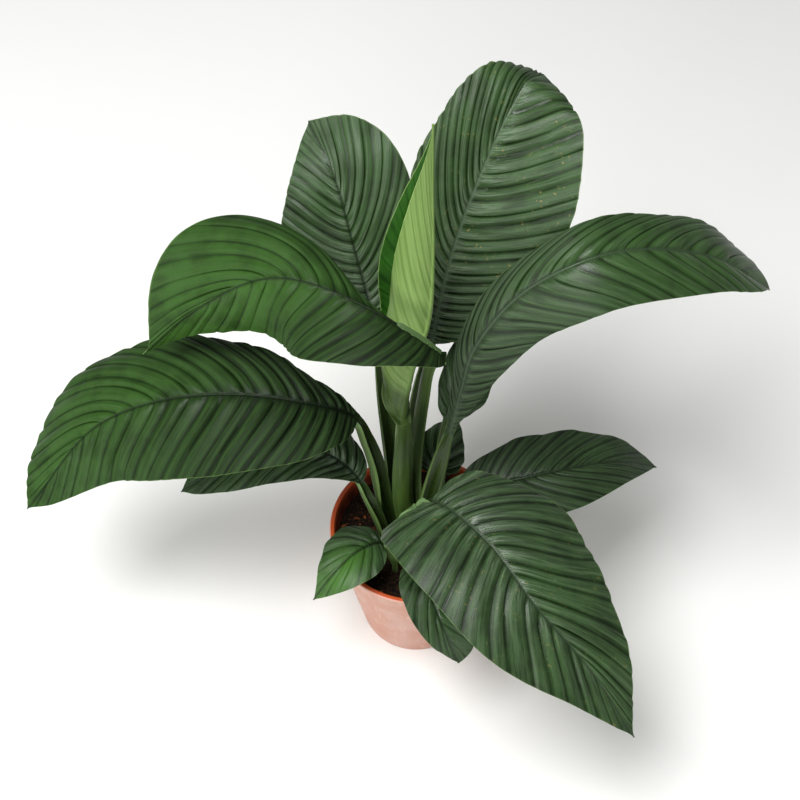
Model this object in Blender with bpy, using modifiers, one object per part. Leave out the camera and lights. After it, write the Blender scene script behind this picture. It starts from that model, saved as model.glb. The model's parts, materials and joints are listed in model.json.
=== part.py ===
"""Potted peace lily: thirteen broad pleated leaves in a thin plastic nursery pot filled with soil.

Metres, +Z up. The origin is the centre of the pot's underside, and the front of the plant faces -Y.
Each leaf is one sheet that runs from its foot in the soil, along the stalk, to the tip of its blade.
"""

import math
from dataclasses import dataclass

import bmesh
import bpy
import numpy as np
from mathutils import Vector

MM = 0.001

# Pot: a 21 cm nursery pot.
RIM_RADIUS = 105 * MM
POT_HEIGHT = 190 * MM
BASE_RADIUS = 67 * MM
WALL = 1.6 * MM
FLOOR = 2.5 * MM
LIP_WIDTH = 6 * MM
LIP_DEPTH = 4.5 * MM
LIP_ROUND = 2 * MM
LIP_DRAFT = 0.4 * MM
RING_WIDTH = 0.8 * MM
RING_DEPTH = 4 * MM
FOOT_DEPTH = 3 * MM
FOOT_WIDTH = 4 * MM
FOOT_DRAFT = 0.8 * MM
CORNER = 4 * MM
DRAIN_COUNT = 8
DRAIN_RADIUS = 5 * MM
DRAIN_CIRCLE = 46 * MM
NOTCH_WIDTH = 9 * MM
NOTCH_DEPTH = 1.8 * MM
CUTTER_REACH = 20 * MM
POT_STEPS = 36

# Soil
SOIL_TOP = 168 * MM
SOIL_MOUND = 3 * MM
SOIL_LUMP = 1.2 * MM
COARSE_LUMPS = 140
FINE_LUMPS = 290
SOIL_RINGS = 5
GAP = 0.3 * MM
HOLE_SIDES = 16
HOLE_DEPTH = 60 * MM
HOLE_MARGIN = 6 * MM

# Leaves
FOOT_BOTTOM = 148 * MM
FOOT_TOP = 178 * MM
FOOT_HALF_WIDTH = 6 * MM
SHEATH_HALF_WIDTH = 11 * MM
SHEATH_REACH = 0.85
SHEATH_FOLD = math.radians(35)
STALK_FOLD = math.radians(12)
NECK_HALF_WIDTH = 4.8 * MM
STALK_THICKNESS = 9.5 * MM
STALK_EDGE = 1.8 * MM
BLADE_THICKNESS = 0.8 * MM
RIB_THICKNESS = 3.4 * MM
RIB_TIP_THICKNESS = 1.2 * MM
RIB_HALF_WIDTH = 3.0 * MM
WIDEST_RIB = 0.35
RIB_GROOVE = 0.9 * MM
TIP_HALF_WIDTH = 1.0 * MM
PLEAT_HEIGHT = 1.6 * MM
PLEAT_PLACES = (0, 0.2, 0.9, 1)
PLEAT_SHARES = (0, 1, 1, 0.7)
FULL_RELIEF = 30 * MM
VEIN_SWEEP = 7.3
LAST_VEIN = 0.82
TIP_SHARE = 0.05
LOBE_SHARE = 0.08
OPENING_SHARE = 0.12
JOIN_SHARE = 0.02
FLATTEST = 1e-3
STALK_ROWS = 7
ROW_SPACING = 40 * MM


@dataclass
class Leaf:
    """One leaf: where it runs, how wide it is and how its two halves hang.

    root is where it stands in the soil; stalk and rib are points that it passes through, in metres, and
    rib starts at the foot of the blade and ends at its tip.
    face is the azimuth and elevation, in degrees, of the way the upper side looks half way up the blade.
    twist turns that by so many degrees from the blade's foot to its tip.
    skew makes the right half wider and the left half narrower by that share.
    belly is the share of the blade's length where the (left, right) half is widest, and taper how fast
    each narrows from there; lobe is how far each reaches back past the blade's foot, in metres.
    sheath is how far the wings of the stalk's sheath reach, (left, right), and stout scales the stalk.
    stalk_twist turns the stalk by so many degrees from the blade's foot down to the soil.
    fold lifts each half from the midrib, as (left, right) degrees at the blade's foot and at its tip, and
    unfold over 1 holds it near the foot's value for longer.
    curl bends each half down towards its margin, as (left, right) degrees where it is widest; cone 1
    bends it as far where it is narrower, which rolls it into a cone.
    """

    name: str
    root: tuple
    stalk: tuple
    rib: tuple
    face: tuple
    width: float
    pleats: int
    fold: tuple = (15, 15)
    fold_tip: tuple = (10, 10)
    curl: tuple = (35, 35)
    twist: float = 0
    skew: float = 0
    lobe: tuple = (0, 0)
    belly: tuple = (0.40, 0.40)
    taper: tuple = (0.85, 0.85)
    unfold: float = 1
    cone: float = 0
    wave: float = 2 * MM
    waves: float = 4
    sheath: tuple = (SHEATH_HALF_WIDTH, SHEATH_HALF_WIDTH)
    stalk_twist: float = 0
    stout: float = 1
    columns: int = 4
    colour: str = "dark"


LEAVES = (
    Leaf(
        "leaf_back_tall",
        root=(-0.004, 0.016), stalk=((-0.003, 0.033, 0.27), (0.002, 0.051, 0.39)),
        rib=((0.014, 0.065, 0.468), (0.037, 0.110, 0.576), (0.064, 0.146, 0.650), (0.092, 0.182, 0.702),
             (0.110, 0.206, 0.720), (0.130, 0.232, 0.705)),
        face=(-100, 35), width=182 * MM, pleats=15, fold_tip=(-12, 14), curl=(45, 0), belly=(0.55, 0.53),
        taper=(0.51, 0.62), skew=0.20, sheath=(11 * MM, 7 * MM),
    ),
    Leaf(
        "leaf_back_left",
        root=(-0.022, 0.018), stalk=((-0.030, 0.034, 0.32), (-0.040, 0.055, 0.42)),
        rib=((-0.045, 0.074, 0.460), (-0.072, 0.134, 0.560), (-0.093, 0.181, 0.620), (-0.118, 0.231, 0.640)),
        face=(-95, 45), width=152 * MM, pleats=13, fold=(15, 2), fold_tip=(10, 2), curl=(45, 10),
        belly=(0.47, 0.61), taper=(1.00, 0.56), skew=0.01,
    ),
    Leaf(
        "leaf_upper_left",
        root=(0.007, 0.004), stalk=((0.000, 0.012, 0.30), (0.008, 0.019, 0.43), (0.016, 0.003, 0.51)),
        rib=((0.026, -0.023, 0.556), (-0.033, -0.008, 0.602), (-0.142, 0.041, 0.605), (-0.238, 0.059, 0.530),
             (-0.301, 0.054, 0.460)),
        face=(-90, 55), width=162 * MM, pleats=15, fold=(30, -118), fold_tip=(-40, 20), curl=(30, -20),
        twist=-90, belly=(0.42, 0.65), taper=(1.15, 2.00), skew=0.045, lobe=(8 * MM, 8 * MM),
        sheath=(7 * MM, 7 * MM),
    ),
    Leaf(
        "leaf_lower_left",
        root=(-0.031, 0.000), stalk=((-0.041, 0.002, 0.275), (-0.055, 0.004, 0.366)),
        rib=((-0.067, 0.005, 0.409), (-0.134, 0.006, 0.440), (-0.216, 0.015, 0.440), (-0.352, 0.018, 0.384),
             (-0.452, -0.025, 0.270)),
        face=(-90, 75), width=186 * MM, pleats=15, fold=(25, -10), fold_tip=(-15, 12), belly=(0.38, 0.55),
        taper=(0.88, 0.82),
        sheath=(15 * MM, 10 * MM), stalk_twist=-70, twist=-10,
    ),
    Leaf(
        "leaf_low_left",
        root=(-0.036, -0.017), stalk=((-0.046, -0.018, 0.240), (-0.058, -0.014, 0.283)),
        rib=((-0.065, -0.006, 0.298), (-0.111, 0.016, 0.330), (-0.168, 0.020, 0.330), (-0.226, 0.006, 0.310),
             (-0.274, -0.008, 0.280)),
        face=(-90, 80), width=88 * MM, pleats=9, belly=(0.48, 0.40), stout=0.7,
    ),
    Leaf(
        "leaf_upper_right",
        root=(0.002, -0.018), stalk=((0.011, -0.018, 0.26), (0.025, -0.013, 0.35)),
        rib=((0.034, -0.008, 0.400), (0.045, -0.004, 0.475), (0.057, 0.000, 0.540), (0.096, 0.022, 0.593),
             (0.163, 0.036, 0.637), (0.302, 0.088, 0.586), (0.384, 0.110, 0.504)),
        face=(-90, 63), width=106 * MM, pleats=16, fold=(-10, 15), fold_tip=(24, 10), curl=(35, 35),
        twist=-60, belly=(0.84, 0.56), taper=(0.17, 0.75), skew=0.10,
    ),
    Leaf(
        "leaf_behind_right",
        root=(0.022, 0.016), stalk=((0.026, 0.016, 0.280), (0.029, 0.017, 0.350)),
        rib=((0.032, 0.020, 0.390), (0.042, 0.042, 0.430), (0.053, 0.069, 0.458), (0.067, 0.103, 0.470)),
        face=(-100, 50), width=60 * MM, pleats=6, columns=3, stout=0.7, skew=0.40,
    ),
    Leaf(
        "leaf_front",
        root=(-0.016, -0.024), stalk=((-0.008, -0.036, 0.240), (0.006, -0.050, 0.310)),
        rib=((0.014, -0.059, 0.340), (0.076, -0.129, 0.365), (0.122, -0.187, 0.340), (0.186, -0.237, 0.280),
             (0.237, -0.283, 0.210)),
        face=(-60, 65), width=190 * MM, pleats=16, fold=(5, 16), fold_tip=(14, 10),
        lobe=(2 * MM, 42 * MM), belly=(0.35, 0.29), taper=(1.15, 1.05), skew=-0.05,
    ),
    Leaf(
        "leaf_low_right",
        root=(0.026, -0.006), stalk=((0.036, -0.004, 0.230), (0.044, -0.002, 0.262)),
        rib=((0.052, -0.002, 0.275), (0.084, -0.005, 0.290), (0.153, 0.006, 0.300), (0.233, 0.034, 0.280),
             (0.288, 0.053, 0.240)),
        face=(-90, 80), width=106 * MM, pleats=10, belly=(0.40, 0.35), taper=(0.82, 1.10), stout=0.7,
    ),
    Leaf(
        "leaf_small_front_left",
        root=(-0.024, -0.046), stalk=((-0.029, -0.046, 0.197),),
        rib=((-0.041, -0.039, 0.216), (-0.067, -0.055, 0.228), (-0.095, -0.082, 0.224),
             (-0.121, -0.106, 0.200)),
        face=(-130, 80), width=76 * MM, pleats=8, belly=(0.36, 0.31), taper=(1.05, 1.35),
        wave=1 * MM, columns=3, stout=0.6,
    ),
    Leaf(
        "leaf_small_front",
        root=(-0.002, -0.046), stalk=((-0.002, -0.052, 0.192),),
        rib=((0.000, -0.060, 0.207), (0.009, -0.091, 0.220), (0.026, -0.132, 0.200), (0.049, -0.157, 0.140)),
        face=(-80, 65), width=74 * MM, pleats=8, belly=(0.54, 0.34), taper=(0.43, 1.00), skew=-0.11,
        wave=1 * MM, columns=3, stout=0.6,
    ),
    Leaf(
        "leaf_small_right",
        root=(0.012, 0.032), stalk=((0.016, 0.036, 0.220),),
        rib=((0.020, 0.040, 0.245), (0.026, 0.048, 0.275), (0.036, 0.062, 0.290), (0.050, 0.080, 0.295)),
        face=(-100, 60), width=62 * MM, pleats=6, columns=3, stout=0.6,
    ),
    Leaf(
        "leaf_rolled",
        root=(-0.012, -0.004), stalk=((-0.017, -0.009, 0.28), (-0.017, -0.012, 0.38)),
        rib=((-0.017, -0.012, 0.430), (-0.008, -0.001, 0.502), (0.009, 0.017, 0.563), (0.013, 0.040, 0.635),
             (0.012, 0.059, 0.718), (0.011, 0.063, 0.800)),
        face=(150, 0), width=146 * MM, pleats=13, fold=(25, 20), fold_tip=(20, 20), curl=(-150, -135),
        twist=80, wave=0, sheath=(7 * MM, 7 * MM), cone=1, skew=-0.12, stout=1.5, belly=(0.42, 0.34),
        taper=(1.50, 1.50), colour="light",
    ),
)

COLOURS = {
    "dark": (0.030, 0.075, 0.020),
    "light": (0.20, 0.36, 0.08),
    "pot": (0.68, 0.38, 0.26),
    "soil": (0.020, 0.013, 0.009),
}


def material(name, colour, roughness):
    """A plain Principled BSDF material."""
    made = bpy.data.materials.new(name)
    made.use_nodes = True
    shader = made.node_tree.nodes["Principled BSDF"]
    shader.inputs["Base Color"].default_value = (*colour, 1)
    shader.inputs["Roughness"].default_value = roughness
    shader.inputs["Metallic"].default_value = 0
    return made


def unit(vectors):
    """The vectors scaled to length one."""
    return vectors / np.linalg.norm(vectors, axis=-1, keepdims=True)


def smooth_course(points, count):
    """Points evenly spaced on a smooth curve through the given points."""
    points = np.array(points, float)
    steps = np.linalg.norm(np.diff(points, axis=0), axis=1)
    places = np.concatenate([[0], np.cumsum(steps)])
    slopes = np.gradient(points, places, axis=0)
    fine = np.linspace(0, places[-1], 40 * len(points))
    piece = np.clip(np.searchsorted(places, fine, side="right") - 1, 0, len(points) - 2)
    span = steps[piece]
    t = (fine - places[piece]) / span
    start = (2 * t**3 - 3 * t**2 + 1)[:, None] * points[piece]
    leave = ((t**3 - 2 * t**2 + t) * span)[:, None] * slopes[piece]
    end = (3 * t**2 - 2 * t**3)[:, None] * points[piece + 1]
    arrive = ((t**3 - t**2) * span)[:, None] * slopes[piece + 1]
    curve = start + leave + end + arrive
    along = np.concatenate([[0], np.cumsum(np.linalg.norm(np.diff(curve, axis=0), axis=1))])
    even = np.linspace(0, along[-1], count)
    return np.stack([np.interp(even, along, curve[:, axis]) for axis in range(3)], axis=-1), even


def direction(azimuth, elevation):
    """The unit vector at an azimuth from +X and an elevation, in degrees."""
    azimuth, elevation = math.radians(azimuth), math.radians(elevation)
    flat = math.cos(elevation)
    return np.array([flat * math.cos(azimuth), flat * math.sin(azimuth), math.sin(elevation)])


class Course:
    """The centre line of a leaf, with the way that its upper side faces carried along it."""

    SAMPLES = 400

    def __init__(self, leaf):
        x, y = leaf.root
        upright = tuple((x, y, z) for z in np.linspace(FOOT_BOTTOM, FOOT_TOP, 4))
        through = (*upright, *leaf.stalk, *leaf.rib)
        self.points, self.along = smooth_course(through, self.SAMPLES)
        self.tangents = unit(np.gradient(self.points, axis=0))
        nearest = np.linalg.norm(self.points - np.array(leaf.rib[0]), axis=1).argmin()
        self.blade_start = self.along[nearest]
        self.blade_length = self.along[-1] - self.blade_start
        middle = (nearest + self.SAMPLES) // 2
        normals = np.zeros_like(self.points)
        normals[middle] = self.square_to(direction(*leaf.face), middle)
        for i in range(middle + 1, self.SAMPLES):
            normals[i] = self.square_to(normals[i - 1], i)
        for i in range(middle - 1, -1, -1):
            normals[i] = self.square_to(normals[i + 1], i)
        sides = np.cross(self.tangents, normals)
        share = np.clip((self.along - self.blade_start) / self.blade_length, 0, 1)
        down = np.clip(1 - self.along / self.blade_start, 0, 1)
        turn = (share - 0.5) * math.radians(leaf.twist) + down * math.radians(leaf.stalk_twist)
        turn = turn[:, None]
        self.normals = np.cos(turn) * normals + np.sin(turn) * sides
        self.sides = np.cross(self.tangents, self.normals)

    def square_to(self, vector, index):
        tangent = self.tangents[index]
        return unit(vector - tangent * vector.dot(tangent))

    def at(self, values, distance):
        return np.stack([np.interp(distance, self.along, values[:, axis]) for axis in range(3)], axis=-1)


def half_width_at(leaf, share, belly, taper):
    """Half the blade's width at a share of its length: round at the foot, pointed at the tip."""
    rise = taper * belly / (1 - belly)
    peak = belly**rise * (1 - belly) ** taper
    drawn_out = np.sqrt(np.minimum((1 - share) / TIP_SHARE, 1))
    return leaf.width / 2 * share**rise * (1 - share) ** taper / peak * drawn_out


def vein_rows(leaf, length, count):
    """Each vein's share of the length where it meets the margin, both its ends and the half widths there.

    The veins leave the midrib closer together at its foot, and sweep forward to the margin.
    """
    begin = LAST_VEIN * (np.arange(1, count + 1) / count) ** 1.5
    begin = np.append(begin, 1)
    share = 1 - (1 - begin) ** (1 + VEIN_SWEEP * leaf.width / 2 / length)
    reach = share / LOBE_SHARE
    back = np.outer(leaf.lobe, reach * np.exp(1 - reach))
    left = half_width_at(leaf, share, leaf.belly[0], leaf.taper[0]) * (1 - leaf.skew)
    right = half_width_at(leaf, share, leaf.belly[1], leaf.taper[1]) * (1 + leaf.skew)
    ahead = (length * share - back).T
    widths = np.maximum(np.stack([left, right], axis=-1), TIP_HALF_WIDTH)
    return share, length * begin, ahead, widths


def mixed(a, b, share):
    return a * (1 - share) + b * share


class Sheet:
    """The upper surface of a leaf as rows of points, with the leaf's thickness at each."""

    def __init__(self, leaf):
        self.leaf = leaf
        self.course = Course(leaf)
        self.columns = 2 * leaf.columns + 1
        self.points = []
        self.thickness = []
        self.add_stalk()
        self.add_blade()

    def column_shares(self, half_width):
        """Shares of the half width, left margin to right, with a column at the midrib's edge."""
        inner = min(RIB_HALF_WIDTH / half_width, WIDEST_RIB)
        outer = inner + (1 - inner) * np.linspace(0, 1, self.leaf.columns)
        return np.concatenate([-outer[::-1], [0], outer])

    def place(self, forward, across, fold, bend, lift):
        """Points that lie forward along the course and across it on the bent halves, lifted off them."""
        course = self.course
        inside = np.clip(forward, 0, course.along[-1])
        point = course.at(course.points, inside)
        tangent = unit(course.at(course.tangents, inside))
        normal = unit(course.at(course.normals, inside))
        side = unit(course.at(course.sides, inside))
        away = np.abs(across)
        bend = np.where(np.abs(bend) < FLATTEST, FLATTEST, bend)
        angle = fold - bend * away
        out = (np.sin(fold) - np.sin(angle)) / bend
        up = (np.cos(angle) - np.cos(fold)) / bend
        out = out - np.sin(angle) * lift
        up = up + np.cos(angle) * lift
        out = out * np.sign(across)
        return point + side * out[:, None] + normal * up[:, None]

    def sided(self, pair, shares):
        left, right = np.radians(pair)
        return np.where(shares < 0, left, right)

    def add_stalk(self):
        leaf = self.leaf
        start = self.course.blade_start
        buried = FOOT_TOP - FOOT_BOTTOM
        rows = min(3 + int(start / ROW_SPACING), STALK_ROWS)
        places = (0, *np.linspace(buried, start, rows, endpoint=False))
        for place in places:
            share = place / start
            swell = math.sin(math.pi * min(max((place - buried) / (SHEATH_REACH * start), 0), 1))
            plain = mixed(FOOT_HALF_WIDTH, NECK_HALF_WIDTH, share) * leaf.stout
            shares = self.column_shares(plain)
            left, right = leaf.sheath
            wing = np.where(shares < 0, left, right) * leaf.stout
            across = shares * mixed(plain, np.maximum(wing, plain), swell)
            fold = np.full(self.columns, STALK_FOLD + SHEATH_FOLD * swell)
            zero = np.zeros(self.columns)
            self.points.append(self.place(zero + place, across, fold, zero, zero))
            self.thickness.append(self.stalk_section(shares))

    def stalk_section(self, shares):
        """The stalk's thickness: round at the middle, thin at the wings' margins."""
        middle = STALK_THICKNESS * self.leaf.stout
        return STALK_EDGE + (middle - STALK_EDGE) * np.sqrt(np.maximum(1 - shares**2, 0))

    def add_blade(self):
        leaf = self.leaf
        course = self.course
        length = course.blade_length
        rows = 2 * leaf.pleats + 1
        for row, values in enumerate(zip(*vein_rows(leaf, length, rows))):
            share, begin, ahead, widths = values
            half_width = widths.mean()
            shares = self.column_shares(half_width)
            size = np.abs(shares)
            forward = course.blade_start + mixed(begin, np.where(shares < 0, *ahead), size**2)
            into = min(share / OPENING_SHARE, 1)
            opened = share**leaf.unfold
            folded = mixed(self.sided(leaf.fold, shares), self.sided(leaf.fold_tip, shares), opened)
            fold = mixed(STALK_FOLD, folded, into)
            reach = np.where(shares < 0, *widths)
            bend = self.sided(leaf.curl, shares) * into / mixed(leaf.width / 2, reach, leaf.cone)
            narrow = min(half_width / FULL_RELIEF, 1)
            ridge = (PLEAT_HEIGHT if row % 2 else -PLEAT_HEIGHT) * narrow
            relief = ridge * np.interp(size, PLEAT_PLACES, PLEAT_SHARES)
            relief = np.where(size == 0, -RIB_GROOVE * narrow, relief)
            ripple = np.sin(2 * math.pi * leaf.waves * share + (shares > 0) * 2) * size**3
            ripple = ripple * leaf.wave * min(3 * half_width / leaf.width, 1)
            self.points.append(self.place(forward, shares * reach, fold, bend, relief + ripple))
            rib = mixed(RIB_THICKNESS, RIB_TIP_THICKNESS, share)
            blade = np.where(size == 0, rib, BLADE_THICKNESS)
            self.thickness.append(mixed(self.stalk_section(shares), blade, min(share / JOIN_SHARE, 1)))


def add_object(name, mesh, look, collection):
    """An object in the collection, with its material."""
    made = bpy.data.objects.new(name, mesh)
    mesh.materials.clear()
    mesh.materials.append(look)
    collection.objects.link(made)
    return made


def leaf_object(leaf, look, collection):
    """A grid moved onto the leaf's sheet, given its thickness by Solidify."""
    sheet = Sheet(leaf)
    rows, columns = len(sheet.points), sheet.columns
    grid = bmesh.new()
    bmesh.ops.create_grid(grid, x_segments=columns - 1, y_segments=rows - 1, size=1)
    places = np.concatenate(sheet.points)
    for vertex, place in zip(grid.verts, places):
        vertex.co = place
    bmesh.ops.triangulate(grid, faces=grid.faces)
    mesh = bpy.data.meshes.new(leaf.name)
    grid.to_mesh(mesh)
    grid.free()
    made = add_object(leaf.name, mesh, look, collection)
    weights = made.vertex_groups.new(name="thickness")
    for index, value in enumerate(np.concatenate(sheet.thickness)):
        weights.add([index], float(value / STALK_THICKNESS), "REPLACE")
    solid = made.modifiers.new("Thickness", "SOLIDIFY")
    solid.thickness = STALK_THICKNESS
    solid.offset = -1
    solid.vertex_group = "thickness"
    return made


def turned_object(name, profile, steps, look, collection):
    """A profile in the XZ plane turned once round Z."""
    mesh = bpy.data.meshes.new(name)
    points = [(x, 0, z) for x, z in profile]
    edges = [(i, i + 1) for i in range(len(points) - 1)]
    mesh.from_pydata(points, edges, [])
    made = add_object(name, mesh, look, collection)
    screw = made.modifiers.new("Turned", "SCREW")
    screw.steps = steps
    screw.render_steps = steps
    screw.use_merge_vertices = True
    screw.merge_threshold = 1e-5
    return made


def wall_radius(height):
    """The outside radius of the pot's wall under the lip."""
    top = RIM_RADIUS - LIP_WIDTH + WALL
    return mixed(BASE_RADIUS, top, height / (POT_HEIGHT - LIP_DEPTH))


def arc(centre, radius, start, end, count):
    """Points on a circular arc in the profile plane, angles in degrees."""
    angles = np.radians(np.linspace(start, end, count))
    return [(centre[0] + radius * math.cos(a), centre[1] + radius * math.sin(a)) for a in angles]


def pot_profile():
    """The pot's section, from the middle of its floor inside, over the lip and down to its underside."""
    inside_top = RIM_RADIUS - LIP_WIDTH
    floor_top = FOOT_DEPTH + FLOOR
    under_lip = POT_HEIGHT - LIP_DEPTH
    ring_foot = under_lip - RING_DEPTH
    inner = wall_radius(floor_top) - WALL
    profile = [(0, floor_top), (inner - CORNER, floor_top)]
    profile += [(inner - CORNER / 3, floor_top + CORNER / 3), (wall_radius(2 * CORNER) - WALL, 2 * CORNER)]
    profile += [(inside_top - LIP_DRAFT, under_lip), (inside_top, POT_HEIGHT - LIP_ROUND / 2)]
    profile += [(inside_top + LIP_ROUND / 2, POT_HEIGHT)]
    profile += arc((RIM_RADIUS - LIP_ROUND, POT_HEIGHT - LIP_ROUND), LIP_ROUND, 90, 0, 4)
    profile += [(RIM_RADIUS - LIP_DRAFT, under_lip), (wall_radius(under_lip) + RING_WIDTH, under_lip)]
    profile += [(wall_radius(ring_foot) + RING_WIDTH, ring_foot + RING_WIDTH)]
    profile += [(wall_radius(ring_foot), ring_foot)]
    profile += [(wall_radius(CORNER), CORNER), (wall_radius(0) - FOOT_DRAFT, 0)]
    profile += [(wall_radius(0) - FOOT_WIDTH, 0), (wall_radius(0) - FOOT_WIDTH, FOOT_DEPTH)]
    profile += [(0, FOOT_DEPTH)]
    return profile


def box_cutter(name, size, place, turn, collection):
    bpy.ops.mesh.primitive_cube_add(size=1, location=place, rotation=(0, 0, turn))
    made = bpy.context.object
    made.name = name
    made.scale = size
    return as_cutter(made, collection)


def cylinder_cutter(name, radius, place, depth, collection, sides=HOLE_SIDES):
    bpy.ops.mesh.primitive_cylinder_add(vertices=sides, radius=radius, depth=depth, location=place)
    made = bpy.context.object
    made.name = name
    return as_cutter(made, collection)


def as_cutter(made, collection):
    for holder in list(made.users_collection):
        holder.objects.unlink(made)
    collection.objects.link(made)
    made.hide_render = True
    made.display_type = "WIRE"
    return made


def cut(target, collection, name):
    """Takes everything in the collection away from the target."""
    boolean = target.modifiers.new(name, "BOOLEAN")
    boolean.operation = "DIFFERENCE"
    boolean.solver = "EXACT"
    boolean.operand_type = "COLLECTION"
    boolean.collection = collection
    return boolean


def pot_object(look, collection, cutters):
    made = turned_object("pot", pot_profile(), POT_STEPS, look, collection)
    for index in range(DRAIN_COUNT):
        turn = 2 * math.pi * (index + 0.5) / DRAIN_COUNT
        ray = (math.cos(turn), math.sin(turn))
        hole = (DRAIN_CIRCLE * ray[0], DRAIN_CIRCLE * ray[1], FOOT_DEPTH)
        cylinder_cutter(f"drain_{index + 1}", DRAIN_RADIUS, hole, CUTTER_REACH, cutters)
        notch = (BASE_RADIUS * ray[0], BASE_RADIUS * ray[1], 0)
        box_cutter(f"notch_{index + 1}", (CUTTER_REACH, NOTCH_WIDTH, 2 * NOTCH_DEPTH), notch, turn, cutters)
    cut(made, cutters, "Drains")
    return made


def soil_object(look, collection, cutters, leaves):
    """The soil as a turned plug with an uneven top and a plain hole round each stalk's foot."""
    floor_top = FOOT_DEPTH + FLOOR + GAP
    inside_top = RIM_RADIUS - LIP_WIDTH - LIP_DRAFT
    slope = (inside_top - (wall_radius(2 * CORNER) - WALL)) / (POT_HEIGHT - LIP_DEPTH - 2 * CORNER)
    edge = inside_top - (POT_HEIGHT - LIP_DEPTH - SOIL_TOP) * slope - GAP
    profile = [(edge * i / SOIL_RINGS, SOIL_TOP) for i in range(SOIL_RINGS + 1)]
    profile += [(wall_radius(2.5 * CORNER) - WALL - GAP, 2.5 * CORNER)]
    profile += [(wall_radius(floor_top) - WALL - CORNER - GAP, floor_top), (0, floor_top)]
    made = turned_object("soil", profile, POT_STEPS, look, collection)
    graph = bpy.context.evaluated_depsgraph_get()
    mesh = bpy.data.meshes.new_from_object(made.evaluated_get(graph))
    made.modifiers.clear()
    made.data = mesh
    for vertex in mesh.vertices:
        x, y, z = vertex.co
        if math.isclose(z, SOIL_TOP, abs_tol=1e-5):
            radius = math.hypot(x, y)
            still = 1 - (radius / edge) ** 4
            coarse = math.sin(x * COARSE_LUMPS + 1) * math.sin(y * COARSE_LUMPS)
            lump = coarse + 0.5 * math.sin((x - y) * FINE_LUMPS)
            vertex.co.z = SOIL_TOP + (lump * SOIL_LUMP + SOIL_MOUND * (1 - radius / edge)) * still
    for leaf_made in leaves:
        evaluated = leaf_made.evaluated_get(graph)
        vertices = evaluated.to_mesh().vertices
        low = [vertex.co.xy for vertex in vertices if vertex.co.z < FOOT_TOP + HOLE_MARGIN]
        evaluated.to_mesh_clear()
        middle = sum(low, Vector((0, 0))) / len(low)
        reach = max((point - middle).length for point in low)
        radius = (reach + GAP) / math.cos(math.pi / HOLE_SIDES)
        place = (middle.x, middle.y, FOOT_BOTTOM - 2 * GAP + HOLE_DEPTH / 2)
        cylinder_cutter("hole_" + leaf_made.name, radius, place, HOLE_DEPTH, cutters)
    cut(made, cutters, "Stem holes")
    return made


def main():
    for old in list(bpy.data.objects):
        bpy.data.objects.remove(old, do_unlink=True)
    parts = bpy.data.collections.new("Potted peace lily")
    drains = bpy.data.collections.new("Pot cutters")
    holes = bpy.data.collections.new("Soil cutters")
    for collection in (parts, drains, holes):
        bpy.context.scene.collection.children.link(collection)
    looks = {
        "dark": material("Dark leaf", COLOURS["dark"], 0.35),
        "light": material("New leaf", COLOURS["light"], 0.4),
        "pot": material("Pot plastic", COLOURS["pot"], 0.5),
        "soil": material("Soil", COLOURS["soil"], 0.95),
    }
    pot_object(looks["pot"], parts, drains)
    leaves = [leaf_object(leaf, looks[leaf.colour], parts) for leaf in LEAVES]
    bpy.context.view_layer.update()
    soil_object(looks["soil"], parts, holes, leaves)


main()
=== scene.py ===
import json
import math
import random
from dataclasses import dataclass
from functools import partial

import bmesh
import bpy
import numpy as np
from bpy.props import FloatProperty, FloatVectorProperty, IntProperty, PointerProperty
from mathutils import Euler, Matrix, Vector, noise

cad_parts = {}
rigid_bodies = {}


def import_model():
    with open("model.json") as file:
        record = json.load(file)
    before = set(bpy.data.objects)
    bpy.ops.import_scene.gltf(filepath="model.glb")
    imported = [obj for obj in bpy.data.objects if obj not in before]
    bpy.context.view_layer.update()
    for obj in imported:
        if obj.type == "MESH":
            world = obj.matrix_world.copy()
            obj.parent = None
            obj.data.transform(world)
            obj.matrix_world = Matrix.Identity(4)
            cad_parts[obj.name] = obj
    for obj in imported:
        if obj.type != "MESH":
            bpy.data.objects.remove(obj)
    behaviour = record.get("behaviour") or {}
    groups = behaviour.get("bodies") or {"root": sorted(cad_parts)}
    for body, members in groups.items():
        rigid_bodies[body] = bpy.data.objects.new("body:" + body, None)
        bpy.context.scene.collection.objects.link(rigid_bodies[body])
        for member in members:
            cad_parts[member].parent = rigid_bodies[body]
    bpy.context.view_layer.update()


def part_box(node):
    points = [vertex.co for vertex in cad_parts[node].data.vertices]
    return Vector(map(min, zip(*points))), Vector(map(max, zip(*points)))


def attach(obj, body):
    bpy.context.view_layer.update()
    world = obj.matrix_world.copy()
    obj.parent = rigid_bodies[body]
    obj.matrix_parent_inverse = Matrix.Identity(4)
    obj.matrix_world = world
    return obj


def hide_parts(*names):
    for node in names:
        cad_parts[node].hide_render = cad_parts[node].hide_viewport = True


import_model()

bl_info = {
    "name": "Potted peace lily",
    "version": (1, 0, 0),
    "blender": (4, 5, 0),
    "location": "View3D > Sidebar > Peace Lily",
    "description": "Builds a leafy peace lily in its nursery pot, one piece at a time",
    "category": "Add Mesh",
}

MM = 0.001

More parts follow.
